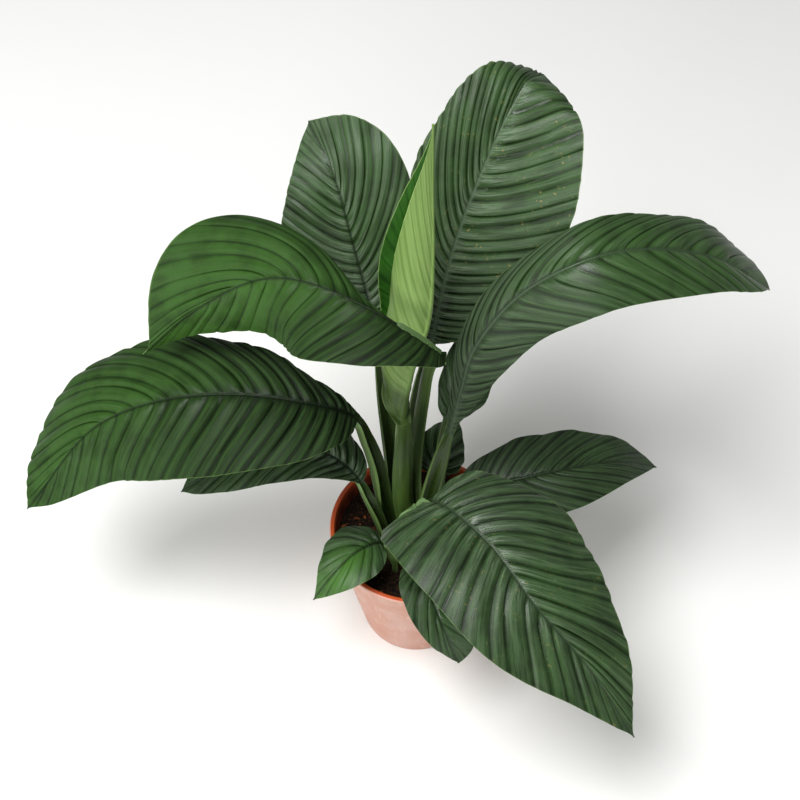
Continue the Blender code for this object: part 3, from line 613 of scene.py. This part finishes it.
class Sheet:
    """The upper surface of a leaf as a fine grid, with its thickness and what its finish needs to know."""

    def __init__(self, leaf, settings):
        self.leaf = leaf
        self.course = Course(leaf)
        self.side_columns = settings.columns
        self.columns = 2 * self.side_columns + 1
        self.blade_thickness = settings.blade_thickness
        self.pleat_height = settings.pleat_height * leaf.relief
        self.rows_per_vein = settings.rows_per_vein
        self.points = []
        self.thickness = []
        self.facts = {name: [] for name in FACTS}
        self.add_stalk()
        self.add_blade()

    def column_shares(self, half_width):
        """Shares of the half width from the left margin to the right, closer together on the midrib."""
        inner = min(RIB_HALF_WIDTH / half_width, 0.35)
        near = inner * np.linspace(0, 1, RIB_COLUMNS + 1)[1:]
        far = inner + (1 - inner) * np.linspace(0, 1, self.side_columns - RIB_COLUMNS + 1)[1:]
        outer = np.concatenate([near, far])
        return np.concatenate([-outer[::-1], [0], outer])

    def place(self, forward, across, fold, bend, lift):
        """Points that lie forward along the course and across it on the bent halves, lifted off them."""
        course = self.course
        inside = np.clip(forward, 0, course.along[-1])
        point = course.at(course.points, inside)
        normal = unit(course.at(course.normals, inside))
        side = unit(course.at(course.sides, inside))
        away = np.abs(across)
        bend = np.where(np.abs(bend) < 1e-3, 1e-3, bend)
        angle = fold - bend * away
        out = (np.sin(fold) - np.sin(angle)) / bend
        up = (np.cos(angle) - np.cos(fold)) / bend
        out = out - np.sin(angle) * lift
        up = up + np.cos(angle) * lift
        out = out * np.sign(across)
        return point + side * out[:, None] + normal * up[:, None]

    def sided(self, pair, shares):
        left, right = np.radians(pair)
        return np.where(shares < 0, left, right)

    def note(self, **facts):
        for name in self.facts:
            self.facts[name].append(np.broadcast_to(facts.get(name, 0.0), self.columns))

    def stalk_section(self, shares):
        """The stalk's thickness: round at the middle, thin at the wings' margins."""
        middle = STALK_THICKNESS * self.leaf.stout
        return STALK_EDGE + (middle - STALK_EDGE) * np.sqrt(np.maximum(1 - shares**2, 0))

    def add_stalk(self):
        leaf = self.leaf
        start = self.course.blade_start
        buried = FOOT_TOP - FOOT_BOTTOM
        places = np.linspace(0, start, max(int(start / STALK_STEP), 4), endpoint=False)
        for place in places:
            share = place / start
            swell = math.sin(math.pi * min(max((place - buried) / (SHEATH_REACH * start), 0), 1))
            plain = mixed(FOOT_HALF_WIDTH, NECK_HALF_WIDTH, share) * leaf.stout
            shares = self.column_shares(plain)
            left, right = leaf.sheath
            wing = np.where(shares < 0, left, right) * leaf.stout
            across = shares * mixed(plain, np.maximum(wing, plain), swell)
            fold = np.full(self.columns, STALK_FOLD + SHEATH_FOLD * swell)
            zero = np.zeros(self.columns)
            self.points.append(self.place(zero + place, across, fold, zero, zero))
            self.thickness.append(self.stalk_section(shares))
            self.note(across=shares, along=share - 1, vein=1.0)

    def add_blade(self):
        leaf = self.leaf
        course = self.course
        last = 2 * leaf.pleats + 1
        veined = np.linspace(-1, last - 1, last * self.rows_per_vein // 2 + 1)
        phases = np.concatenate([veined, np.linspace(last - 1, last, TIP_ROWS + 1)[1:]])
        rows = zip(phases, *vein_rows(leaf, course.blade_length, phases))
        for phase, share, begin, ahead, widths in rows:
            half_width = widths.mean()
            shares = self.column_shares(half_width)
            size = np.abs(shares)
            from_rib = size * half_width
            share = mixed(share.mean(), np.where(shares < 0, *share), np.minimum(size / 0.2, 1))
            forward = course.blade_start + mixed(begin, np.where(shares < 0, *ahead), size**leaf.bow)
            into = np.minimum(share / OPENING_SHARE, 1)
            opened = share**leaf.unfold
            folded = mixed(self.sided(leaf.fold, shares), self.sided(leaf.fold_tip, shares), opened)
            fold = mixed(STALK_FOLD, folded, into)
            reach = np.where(shares < 0, *widths)
            bend = self.sided(leaf.curl, shares) * into / mixed(leaf.width / 2, reach, leaf.cone)
            # A pleat is a pillow between two sharp furrows. No two are the same height.
            pillow = 2 * abs(math.sin(math.pi * phase / 2)) - 1
            tall = 0.75 + 0.25 * np.sin(1.3 * phase + 4 * shares)
            pillow = pillow * tall * self.pleat_height * min(half_width / FULL_PLEATS_FROM, 1)
            relief = pillow * smooth(from_rib, 0, FLAT_BESIDE_RIB) * (1 - 0.5 * size**2)
            ripple = leaf.wave * np.sin(2 * math.pi * leaf.waves * share + (shares > 0) * 2) * size**3
            ripple = ripple * min(half_width / (leaf.width / 3), 1)
            groove = -RIB_GROOVE * min(half_width / FULL_GROOVE_FROM, 1)
            groove = groove * np.exp(-(from_rib / GROOVE_HALF_WIDTH) ** 2)
            self.points.append(self.place(forward, shares * reach, fold, bend, relief + ripple + groove))
            rib_reach = mixed(1.5, 0.6, share) * RIB_HALF_WIDTH
            rib_round = np.sqrt(np.clip(1 - (from_rib / rib_reach) ** 2, 0, 1))
            rib = mixed(RIB_THICKNESS, RIB_TIP_THICKNESS, share) - self.blade_thickness
            thickness = self.blade_thickness * mixed(1, 0.6, size**4) + rib * rib_round
            thickness = mixed(self.stalk_section(shares), thickness, smooth(share, 0, 0.04))
            self.thickness.append(thickness)
            rib_tint = 0.85 * np.exp(-(from_rib / mixed(*RIB_TINT_HALF_WIDTHS, share)) ** 2)
            fresh = np.where(shares < 0, leaf.fresh[0], leaf.fresh[1])
            # Towards its foot the blade is darker, partly its own deeper green and partly painted shade from
            # the leaves above; it also carries its painted silvery sheen.
            self.note(vein=phase, across=shares, along=share, fresh=fresh, age=leaf.age,
                      dusk=leaf.dusk * (1 - smooth(share, 0.35, 0.95)),
                      rib=rib_tint, pale=leaf.pale_rib, veil=leaf.veil)


def leaf_piece(leaf, settings, materials):
    """A grid moved onto the leaf's sheet and given its thickness by Solidify, with three materials."""
    sheet = Sheet(leaf, settings)
    grid = bmesh.new()
    bmesh.ops.create_grid(grid, x_segments=sheet.columns - 1, y_segments=len(sheet.points) - 1, size=1)
    for vertex, place in zip(grid.verts, np.concatenate(sheet.points)):
        vertex.co = place
    mesh = mesh_from(grid, leaf.name)
    for name, rows in sheet.facts.items():
        values = np.concatenate(rows).astype("f")
        mesh.attributes.new(name, "FLOAT", "POINT").data.foreach_set("value", values)
    draft = new_object(leaf.name + "_draft", mesh)
    weights = draft.vertex_groups.new(name="thickness")
    for index, value in enumerate(np.concatenate(sheet.thickness)):
        weights.add([index], float(value / STALK_THICKNESS), "REPLACE")
    for material in materials:
        mesh.materials.append(material)
    solid = draft.modifiers.new("Thickness", "SOLIDIFY")
    solid.thickness = STALK_THICKNESS
    solid.offset = -1
    solid.vertex_group = "thickness"
    solid.material_offset = 1
    solid.material_offset_rim = 2
    return finished(draft, leaf.name, 60)


# Pot

def wall_radius(settings, height):
    """The outside radius of the pot's wall under the lip."""
    top = settings.rim_radius - settings.lip_width + settings.wall
    return mixed(settings.base_radius, top, height / (settings.height - settings.lip_depth))


def arc(centre, radius, start, end, count):
    """Points on a circular arc in the profile plane, angles in degrees."""
    angles = np.radians(np.linspace(start, end, count))
    return [(centre[0] + radius * math.cos(a), centre[1] + radius * math.sin(a)) for a in angles]


FOOT_DEPTH = 3 * MM
FOOT_WIDTH = 4 * MM
FOOT_BEVEL = 0.8 * MM
FLOOR = 2.5 * MM
CORNER = 4 * MM
RING_DEPTH = 4 * MM
RING_WIDTH = 0.8 * MM
LIP_DRAFT = 0.4 * MM
LIP_INNER_ROUND = 1.2 * MM
LIP_OUTER_ROUND = 2 * MM


def pot_profile(pot):
    """The pot's section, from the middle of its floor inside, over the lip and down to its underside."""
    inside_top = pot.rim_radius - pot.lip_width
    floor_top = FOOT_DEPTH + FLOOR
    under_lip = pot.height - pot.lip_depth
    ring_foot = under_lip - RING_DEPTH
    inner = wall_radius(pot, floor_top) - pot.wall
    lip_middle = pot.height - LIP_INNER_ROUND
    lip_outer = (pot.rim_radius - LIP_OUTER_ROUND, pot.height - LIP_OUTER_ROUND)
    return [
        (0, floor_top),
        (inner - CORNER, floor_top),
        *arc((inner - CORNER, floor_top + CORNER), CORNER, -70, -15, 5),
        (wall_radius(pot, 3 * CORNER) - pot.wall, 3 * CORNER),
        (inside_top - LIP_DRAFT, under_lip),
        *arc((inside_top + LIP_INNER_ROUND, lip_middle), LIP_INNER_ROUND, 180, 90, 6),
        *arc(lip_outer, LIP_OUTER_ROUND, 90, 0, 8),
        (pot.rim_radius - LIP_DRAFT, under_lip),
        (wall_radius(pot, under_lip) + RING_WIDTH, under_lip),
        (wall_radius(pot, ring_foot) + RING_WIDTH, ring_foot + RING_WIDTH),
        (wall_radius(pot, ring_foot), ring_foot),
        (wall_radius(pot, CORNER), CORNER),
        (wall_radius(pot, 0) - FOOT_BEVEL, 0),
        (wall_radius(pot, 0) - FOOT_WIDTH, 0),
        (wall_radius(pot, 0) - FOOT_WIDTH, FOOT_DEPTH),
        (0, FOOT_DEPTH),
    ]


def turned_draft(name, profile, steps):
    """A profile in the XZ plane turned once round Z."""
    mesh = bpy.data.meshes.new(name)
    mesh.from_pydata([(x, 0, z) for x, z in profile], [(i, i + 1) for i in range(len(profile) - 1)], [])
    made = new_object(name, mesh)
    screw = made.modifiers.new("Turned", "SCREW")
    screw.steps = steps
    screw.render_steps = steps
    screw.use_merge_vertices = True
    screw.merge_threshold = 1e-5
    return made


def moulded_plastic(name, settings, outside):
    """Injection-moulded polypropylene, coloured right through.

    The mould leaves it satin, with faint flow lines up the wall. The outside is chalky and pale from dust
    and sunlight; the lip and the inside keep the strong colour.
    """
    made, add = new_material(name)
    place = add("TexCoord", output="Object")
    # Flow lines run up the wall, about 9 mm apart and eight times as long.
    drawn_out = add("Mapping", {"Vector": place, "Scale": (1, 1, 0.12)})
    flow = add("TexNoise", {"Vector": drawn_out, "Scale": 1 / (9.091 * MM), "Detail": 4.0})
    # Dust and sunlight leave patches of about 40 mm.
    clouds = add("TexNoise", {"Vector": place, "Scale": 1 / (38.46 * MM), "Detail": 5.0, "Roughness": 0.6})
    # The mould's own texture is about 0.2 mm fine. It is drawn more than 2 mm across, so that it shows.
    grit = add("TexNoise", {"Vector": place, "Scale": 1 / (2.381 * MM), "Detail": 3.0})
    if outside:
        roughness = (0.5, 0.66)
        colour = layered(add, settings.wall_colour, (
            (linear("#BE8770"), (clouds, 0.35, 0.68, 0, 0.7)),
            (linear("#E6C8BA"), (flow, 0.56, 0.72, 0, 0.25)),
            (linear("#B98C74"), (grit, 0.68, 0.74, 0, 0.3)),
        ))
    else:
        # Painted shade: the wall inside is dark from the soil up to the lip, the shade that falls inside the
        # pot.
        height = add("SeparateXYZ", (place,), "Z")
        damp = (height, settings.height - 12 * MM, settings.height - 2 * MM, 0.85, 0)
        roughness = (0.42, 0.55)
        colour = layered(add, settings.rim_colour, (
            (linear("#A8431D"), (clouds, 0.3, 0.7)),
            (linear("#33160E"), damp, (flow, 0.3, 0.6, 0.7, 1)),
        ))
    rough = add("MapRange", (clouds, 0.3, 0.7, *roughness), **SMOOTH)
    fine = add("Math", (grit, 0.5), operation="MULTIPLY")
    relief = add("Math", (flow, 0.6, fine), operation="MULTIPLY_ADD")
    normal = add("Bump", {"Strength": 0.6, "Distance": 0.25 * MM, "Height": relief})
    add("OutputMaterial", {"Surface": add("BsdfPrincipled", {
        "Base Color": colour, "Roughness": rough, "Normal": normal, "IOR": 1.49,
    })})
    return made


# Soil

LUMPS_PER_METRE = 70
LUMP_HEIGHT = 2.2 * MM
CRUMBS_PER_METRE = 260
CRUMB_HEIGHT = 1.6 * MM
FROM_WALL = 4 * MM
FROM_STALK = 8 * MM
MOST_TILT = 0.7
MOST_TURN = 6.3
SHARE_ABOVE_SOIL = 0.35
SQUARENESS = 0.6
KNOCKS_ACROSS = 2.5


def soil_height(x, y, soil):
    """How high the soil's surface stands at a place: a low mound with lumps and crumbs."""
    radius = math.hypot(x, y) / soil.edge
    place = Vector((x, y, 0))
    lump = noise.fractal(place * LUMPS_PER_METRE, 1.0, 2.0, 3) * LUMP_HEIGHT
    crumb = noise.turbulence(place * CRUMBS_PER_METRE, 3, False) * CRUMB_HEIGHT
    mound = soil.mound * max(1 - radius, 0)
    return soil.level + mound + lump * (1 - radius**6) + crumb


def peat(name, dark, brown):
    """Potting peat, milled and sieved, then pressed down by watering.

    It is nearly black where damp and drier brown on its crumbs, with short pale fibres.
    """
    made, add = new_material(name)
    place = add("TexCoord", output="Object")
    # Sieved crumbs are 3 mm across at most.
    crumbs = add("TexNoise", {"Vector": place, "Scale": 1 / (3.333 * MM), "Detail": 6.0, "Roughness": 0.7})
    # Fibres are a tenth of a millimetre thick. They are drawn over 1 mm thick, so that a few of them show.
    stretched = add("Mapping", {"Vector": place, "Rotation": (0, 0, 0.6), "Scale": (1, 0.2, 1)})
    fibres = add("TexNoise", {"Vector": stretched, "Scale": 1 / (1.4286 * MM), "Detail": 2.0})
    colour = layered(add, dark, (
        (brown, (crumbs, 0.42, 0.68)),
        (linear("#6B4A2E"), (fibres, 0.68, 0.74, 0, 0.5)),
    ))
    normal = add("Bump", {"Strength": 1.0, "Distance": 1.2 * MM, "Height": crumbs})
    add("OutputMaterial", {"Surface": add("BsdfPrincipled", {
        "Base Color": colour, "Roughness": 0.95, "Normal": normal, "IOR": 1.4,
        "Specular IOR Level": 0.25,
    })})
    return made


def bark(name, orange, brown):
    """Chipped pine bark: fibrous, matt, orange where freshly broken and dark on its weathered face."""
    made, add = new_material(name)
    place = add("TexCoord", output="Object")
    shade = add("Attribute", output="Fac", attribute_name="shade")
    # Its fibres are finer than a pixel. They are drawn 2 mm across, so that a chip isn't one flat colour.
    grain = add("TexNoise", {"Vector": place, "Scale": 1 / (2.083 * MM), "Detail": 4.0})
    colour = layered(add, brown, ((orange, shade), (linear("#2A160C"), (grain, 0.45, 0.7, 0, 0.6))))
    normal = add("Bump", {"Strength": 0.8, "Distance": 0.5 * MM, "Height": grain})
    add("OutputMaterial", {"Surface": add("BsdfPrincipled", {
        "Base Color": colour, "Roughness": 0.85, "Normal": normal, "IOR": 1.45,
        "Specular IOR Level": 0.3,
    })})
    return made


def scatter(draws, soil, count, crowd, sizes, thick):
    """Loose pieces lying on the soil: a place, a turn and a size each, clear of the stalks."""
    roots = [Vector(leaf.root) for leaf in (*LEAVES, NEW_LEAF)]
    placed = []
    while len(placed) < count:
        radius = (soil.edge - FROM_WALL) * draws.random() ** crowd
        turn = draws.uniform(0, 2 * math.pi)
        spot = Vector((radius * math.cos(turn), radius * math.sin(turn)))
        if min((spot - root).length for root in roots) < FROM_STALK:
            continue
        length = draws.uniform(*sizes)
        width = length * draws.uniform(0.4, 0.9)
        size = Vector((length, width, width * draws.uniform(*thick)))
        tilt_x = draws.uniform(-MOST_TILT, MOST_TILT)
        tilt_y = draws.uniform(-MOST_TILT, MOST_TILT)
        tilt = Euler((tilt_x, tilt_y, draws.uniform(0, MOST_TURN)))
        lift = size.z * SHARE_ABOVE_SOIL
        place = Vector((spot.x, spot.y, soil_height(spot.x, spot.y, soil) + lift))
        placed.append((Matrix.LocRotScale(place, tilt, size), draws.random()))
    return placed


def loose_pieces(name, placed, subdivisions, rough):
    """Many small broken lumps in one mesh, each an icosphere knocked out of shape."""
    lumps = bmesh.new()
    shade = lumps.verts.layers.float.new("shade")
    for matrix, tone in placed:
        made = bmesh.ops.create_icosphere(lumps, subdivisions=subdivisions, radius=0.5)["verts"]
        for vertex in made:
            # Squared off, then broken: chips have flat faces and uneven ends.
            square = Vector(math.copysign(abs(part * 2) ** SQUARENESS / 2, part) for part in vertex.co)
            # Each piece reads the noise at a place of its own.
            elsewhere = Vector((tone * 90, tone * 40, 0))
            knock = noise.noise_vector(vertex.co * KNOCKS_ACROSS + elsewhere) * rough
            vertex.co = matrix @ (square + knock)
            vertex[shade] = tone
    return new_object("look_" + name, mesh_from(lumps, name))


# Floor

def paper(name, colour):
    """Seamless backdrop paper, calendered: matt and even, with faint painted shade in broad waves, as from
    lying loose.
    """
    made, add = new_material(name)
    # Painted shade: the sheet is a shade darker in broad waves of about 330 mm, as if it sagged.
    sag_shade = add("TexNoise", {"Vector": add("TexCoord", output="Object"), "Scale": 1 / (333.3 * MM)})
    colour = layered(add, colour, ((linear("#ECECEA"), (sag_shade, 0.3, 0.7, 0, 0.04)),))
    add("OutputMaterial", {"Surface": add("BsdfPrincipled", {
        "Base Color": colour, "Roughness": 0.9, "Specular IOR Level": 0.1,
    })})
    return made


# Settings that a user would change

POT_LOW, POT_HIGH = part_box("pot")
SOIL_LOW, SOIL_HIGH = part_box("soil")

Length = partial(FloatProperty, subtype="DISTANCE", unit="LENGTH")
Power = partial(FloatProperty, subtype="POWER", unit="POWER", min=0)
Colour = partial(FloatVectorProperty, subtype="COLOR", size=3, min=0, max=1)


class StageSettings(bpy.types.PropertyGroup):
    floor_colour: Colour(name="Floor colour", description="Colour of the floor", default=linear("#F6F6F4"))
    sky_strength: FloatProperty(
        name="Fill light", description="Strength of the even light from all round", default=0.26, min=0)
    key_power: Power(name="Key light", description="Power of the big soft light above", default=115.0)
    front_power: Power(name="Front light", description="Power of the low soft light in front", default=45.0)
    side_power: Power(name="Side light", description="Power of the soft light at the left", default=12.0)
    lens: FloatProperty(name="Lens", description="Focal length of the camera in mm", default=75.0, min=10)
    distance: Length(
        name="Distance", description="How far the camera stands from its aim", default=1.8, min=0.5)
    elevation: FloatProperty(
        name="Elevation", description="How steeply the camera looks down", subtype="ANGLE", unit="ROTATION",
        default=math.radians(54), min=0, max=math.radians(90))
    aim: FloatVectorProperty(
        name="Aim", description="The point that the camera looks at", subtype="TRANSLATION", unit="LENGTH",
        size=3, default=(-0.02, 0, 0.45))


class PotSettings(bpy.types.PropertyGroup):
    height: Length(name="Height", description="Height of the pot", default=POT_HIGH.z, min=0.02)
    rim_radius: Length(
        name="Rim radius", description="Radius of the pot at its lip", default=POT_HIGH.x, min=0.02)
    base_radius: Length(
        name="Base radius", description="Radius of the pot at its foot", default=67 * MM, min=0.02)
    wall: Length(name="Wall", description="Thickness of the plastic", default=1.6 * MM, min=0.0005)
    lip_width: Length(
        name="Lip width", description="Width of the lip seen from above", default=6 * MM, min=0.001)
    lip_depth: Length(
        name="Lip depth", description="How far the lip hangs down outside", default=4.5 * MM, min=0.001)
    steps: IntProperty(
        name="Steps", description="Number of steps that the pot is turned in", default=144, min=8)
    rim_colour: Colour(
        name="Rim colour", description="Colour of the lip and the inside", default=linear("#C8521E"))
    wall_colour: Colour(name="Wall colour", description="Colour of the outside", default=linear("#C4998A"))


class SoilSettings(bpy.types.PropertyGroup):
    level: Length(
        name="Level", description="Height of the soil at the pot's wall", default=167 * MM, min=0.01)
    mound: Length(
        name="Mound", description="How much higher the soil stands in the middle", default=3 * MM, min=0)
    edge: Length(name="Edge", description="Radius of the soil at its surface", default=SOIL_HIGH.x, min=0.01)
    crumbs: IntProperty(name="Crumbs", description="Number of loose crumbs of peat", default=900, min=0)
    chips: IntProperty(name="Chips", description="Number of bark chips", default=220, min=0)
    dark: Colour(name="Damp soil", description="Colour of damp peat", default=linear("#150E0A"))
    brown: Colour(name="Dry soil", description="Colour of drier crumbs", default=linear("#3B261A"))


class LeafSettings(bpy.types.PropertyGroup):
    blade_thickness: Length(
        name="Blade thickness", description="Thickness of the blades", default=0.7 * MM, min=0.0001)
    pleat_height: Length(
        name="Pleat height", description="Half the height of the pleats between the veins", default=1.8 * MM,
        min=0)
    rows_per_vein: IntProperty(
        name="Rows per vein", description="Rows of faces from one vein to the next", default=10, min=4)
    columns: IntProperty(
        name="Columns", description="Columns of faces on each side of the midrib", default=22, min=8)
    green: Colour(name="Green", description="Colour of the grown blades", default=linear("#253C1D"))
    young_green: Colour(
        name="Young green", description="Colour towards the tips of younger blades",
        default=linear("#3C6A1C"))
    new_green: Colour(
        name="New green", description="Colour of the rolled new leaf outside", default=linear("#607D3C"))


# Operators

class LILY_OT_stage(bpy.types.Operator):
    """Sets up the pale floor, the soft lights and the camera"""
    bl_idname = "lily.stage"
    bl_label = "Stage"

    LIGHTS = {
        "key": {"place": (-0.8, -0.7, 3.4), "size": 1.5},
        "front": {"place": (-1.6, -2.7, 1.4), "size": 1.0},
        "side": {"place": (-2.6, -0.8, 1.6), "size": 0.9},
    }
    LIGHT_AIM = Vector((0, 0, 0.4))
    FLOOR_REACH = 6

    def execute(self, context):
        stage = context.scene.lily_stage
        sheet = bmesh.new()
        bmesh.ops.create_grid(sheet, x_segments=8, y_segments=8, size=self.FLOOR_REACH)
        floor = new_object("floor", mesh_from(sheet, "floor"))
        floor.data.materials.append(paper("Seamless paper backdrop", stage.floor_colour))
        for name, light in self.LIGHTS.items():
            self.add_light(name, power=getattr(stage, name + "_power"), **light)
        world = bpy.data.worlds.new("Studio")
        world.use_nodes = True
        sky = world.node_tree.nodes["Background"]
        sky.inputs["Color"].default_value = (1, 1, 1, 1)
        sky.inputs["Strength"].default_value = stage.sky_strength
        context.scene.world = world
        context.scene.view_settings.view_transform = "Standard"
        self.add_camera(context, stage)
        return {"FINISHED"}

    def add_light(self, name, place, size, power):
        light = bpy.data.lights.new(name, "AREA")
        light.size = size
        light.energy = power
        made = new_object(name, light)
        made.location = place
        made.rotation_euler = (self.LIGHT_AIM - made.location).to_track_quat("-Z", "Y").to_euler()

    def add_camera(self, context, stage):
        camera = bpy.data.cameras.new("camera")
        camera.lens = stage.lens
        camera.sensor_width = 36
        made = new_object("camera", camera)
        back = Vector((0, -math.cos(stage.elevation), math.sin(stage.elevation)))
        made.location = Vector(stage.aim) + back * stage.distance
        made.rotation_euler = (math.pi / 2 - stage.elevation, 0, 0)
        context.scene.camera = made


class LILY_OT_pot(bpy.types.Operator):
    """Builds the nursery pot with its lip, drain holes and notched foot"""
    bl_idname = "lily.pot"
    bl_label = "Pot"

    DRAIN_COUNT = 8
    DRAIN_RADIUS = 5 * MM
    DRAIN_CIRCLE = 46 * MM
    NOTCH_WIDTH = 9 * MM
    NOTCH_DEPTH = 1.8 * MM
    CUTTER_LENGTH = 20 * MM

    def execute(self, context):
        pot = context.scene.lily_pot
        draft = turned_draft("pot_draft", pot_profile(pot), pot.steps)
        cutters = bpy.data.collections.new("pot cutters")
        context.scene.collection.children.link(cutters)
        for index in range(self.DRAIN_COUNT):
            turn = 2 * math.pi * (index + 0.5) / self.DRAIN_COUNT
            spoke = Vector((math.cos(turn), math.sin(turn), 0))
            hole = bmesh.new()
            centre = spoke * self.DRAIN_CIRCLE + Vector((0, 0, FOOT_DEPTH))
            bmesh.ops.create_cone(
                hole, cap_ends=True, segments=32, radius1=self.DRAIN_RADIUS, radius2=self.DRAIN_RADIUS,
                depth=self.CUTTER_LENGTH, matrix=Matrix.Translation(centre))
            self.add_cutter(hole, cutters)
            notch = bmesh.new()
            size = Matrix.Diagonal((self.CUTTER_LENGTH, self.NOTCH_WIDTH, 2 * self.NOTCH_DEPTH, 1))
            place = Matrix.Translation(spoke * pot.base_radius) @ Matrix.Rotation(turn, 4, "Z") @ size
            bmesh.ops.create_cube(notch, size=1, matrix=place)
            self.add_cutter(notch, cutters)
        boolean = draft.modifiers.new("Drains", "BOOLEAN")
        boolean.operation = "DIFFERENCE"
        boolean.solver = "EXACT"
        boolean.operand_type = "COLLECTION"
        boolean.collection = cutters
        piece = finished(draft, "pot", 35)
        for cutter in list(cutters.objects):
            bpy.data.objects.remove(cutter, do_unlink=True)
        bpy.data.collections.remove(cutters)
        piece.data.materials.clear()
        piece.data.materials.append(moulded_plastic("Moulded polypropylene, lip and inside", pot, False))
        piece.data.materials.append(moulded_plastic("Moulded polypropylene, chalky outside", pot, True))
        # The outside of the wall and the underside are chalky.
        for face in piece.data.polygons:
            outward = Vector((face.center.x, face.center.y)).normalized().dot(face.normal.xy)
            face.material_index = int(outward > 0.35 or face.normal.z < -0.5)
        hand_in(piece, "pot")
        return {"FINISHED"}

    def add_cutter(self, shape, cutters):
        cutters.objects.link(bpy.data.objects.new("cutter", mesh_from(shape, "cutter")))


class LILY_OT_soil(bpy.types.Operator):
    """Builds the plug of peat with its crumbs"""
    bl_idname = "lily.soil"
    bl_label = "Soil"

    RINGS = 72
    STEPS = 220
    SEED = 7
    GAP = 1 * MM
    CRUMB_SIZES = (1.5 * MM, 4.5 * MM)

    def execute(self, context):
        soil = context.scene.lily_soil
        pot = context.scene.lily_pot
        low = SOIL_LOW.z
        foot = wall_radius(pot, low) - pot.wall - CORNER - self.GAP / 2
        shoulder = wall_radius(pot, 3 * CORNER) - pot.wall - self.GAP
        profile = [(soil.edge * i / self.RINGS, soil.level) for i in range(self.RINGS + 1)]
        profile += [(shoulder, 3 * CORNER), (foot, low), (0, low)]
        piece = finished(turned_draft("soil_draft", profile, self.STEPS), "soil", 60)
        for vertex in piece.data.vertices:
            if vertex.co.z > soil.level - self.GAP:
                vertex.co.z = soil_height(vertex.co.x, vertex.co.y, soil)
        piece.data.materials.append(peat("Milled peat", soil.dark, soil.brown))
        hand_in(piece, "soil")
        placed = scatter(random.Random(self.SEED), soil, soil.crumbs, 0.6, self.CRUMB_SIZES, (0.6, 1.0))
        crumbs = loose_pieces("peat_crumbs", placed, 1, 0.35)
        crumbs.data.materials.append(peat("Peat crumbs", soil.dark, linear("#4A3020")))
        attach(crumbs, "root")
        return {"FINISHED"}


class LILY_OT_bark(bpy.types.Operator):
    """Scatters the bark chips on the soil"""
    bl_idname = "lily.bark"
    bl_label = "Bark chips"

    SEED = 21
    CHIP_SIZES = (2 * MM, 6.5 * MM)

    def execute(self, context):
        soil = context.scene.lily_soil
        placed = scatter(random.Random(self.SEED), soil, soil.chips, 0.85, self.CHIP_SIZES, (0.3, 0.6))
        chips = loose_pieces("bark_chips", placed, 2, 0.3)
        chips.data.materials.append(bark("Chipped pine bark", linear("#B8642F"), linear("#3C2013")))
        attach(chips, "root")
        return {"FINISHED"}


class LILY_OT_leaves(bpy.types.Operator):
    """Builds the grown leaves, each with its stalk"""
    bl_idname = "lily.leaves"
    bl_label = "Leaves"

    def execute(self, context):
        settings = context.scene.lily_leaves
        waxy = upper_greens(settings, deep="#121F0D", streak="#4A633F")
        materials = [
            leaf_tissue("Leaf blade, waxy upper side", waxy, 0.32, 0.5 * MM),
            leaf_tissue("Leaf blade, matt underside", UNDER_GREENS, 0.55, 0.4 * MM),
            leaf_tissue("Leaf margin", UNDER_GREENS, 0.5, 0.2 * MM),
        ]
        plain = upper_greens(settings, deep="#0E190A", streak="#385428")
        dull = leaf_tissue("Leaf blade, thinly waxed upper side", plain, 0.36, 0.5 * MM, wax=0.15)
        for leaf in LEAVES:
            upper = dull if leaf.dull else materials[0]
            hand_in(leaf_piece(leaf, settings, [upper, *materials[1:]]), leaf.name)
        return {"FINISHED"}


class LILY_OT_new_leaf(bpy.types.Operator):
    """Builds the pale new leaf, still rolled"""
    bl_idname = "lily.new_leaf"
    bl_label = "New leaf"

    def execute(self, context):
        settings = context.scene.lily_leaves
        outside = new_outside_greens(settings)
        stalk_end = (0.20, 0.33)
        materials = [
            leaf_tissue("New leaf, inside of the roll", NEW_INSIDE_SHADED_GREENS, 0.5, 0.2 * MM, stalk_end),
            leaf_tissue("New leaf, outside of the roll", outside, 0.45, 0.3 * MM, stalk_end),
            leaf_tissue("New leaf margin", outside, 0.5, 0.2 * MM, stalk_end),
        ]
        hand_in(leaf_piece(NEW_LEAF, settings, materials), NEW_LEAF.name)
        return {"FINISHED"}


OPERATORS = (LILY_OT_stage, LILY_OT_pot, LILY_OT_soil, LILY_OT_bark, LILY_OT_leaves, LILY_OT_new_leaf)


class LILY_PT_panel(bpy.types.Panel):
    """Lists the pieces and their settings"""
    bl_idname = "LILY_PT_panel"
    bl_label = "Potted peace lily"
    bl_space_type = "VIEW_3D"
    bl_region_type = "UI"
    bl_category = "Peace Lily"

    def draw(self, context):
        for operator in OPERATORS:
            self.layout.operator(operator.bl_idname)
        for name, settings in SETTINGS.items():
            box = self.layout.box()
            for prop in settings.__annotations__:
                box.prop(getattr(context.scene, name), prop)


SETTINGS = {
    "lily_stage": StageSettings,
    "lily_pot": PotSettings,
    "lily_soil": SoilSettings,
    "lily_leaves": LeafSettings,
}


def register():
    for made in (*SETTINGS.values(), *OPERATORS, LILY_PT_panel):
        bpy.utils.register_class(made)
    for name, settings in SETTINGS.items():
        setattr(bpy.types.Scene, name, PointerProperty(type=settings))


def unregister():
    for name in SETTINGS:
        delattr(bpy.types.Scene, name)
    for made in reversed((*SETTINGS.values(), *OPERATORS, LILY_PT_panel)):
        bpy.utils.unregister_class(made)


def main():
    register()
    bpy.ops.lily.stage()
    bpy.ops.lily.pot()
    bpy.ops.lily.soil()
    bpy.ops.lily.bark()
    bpy.ops.lily.leaves()
    bpy.ops.lily.new_leaf()


if __name__ == "__main__":
    main()
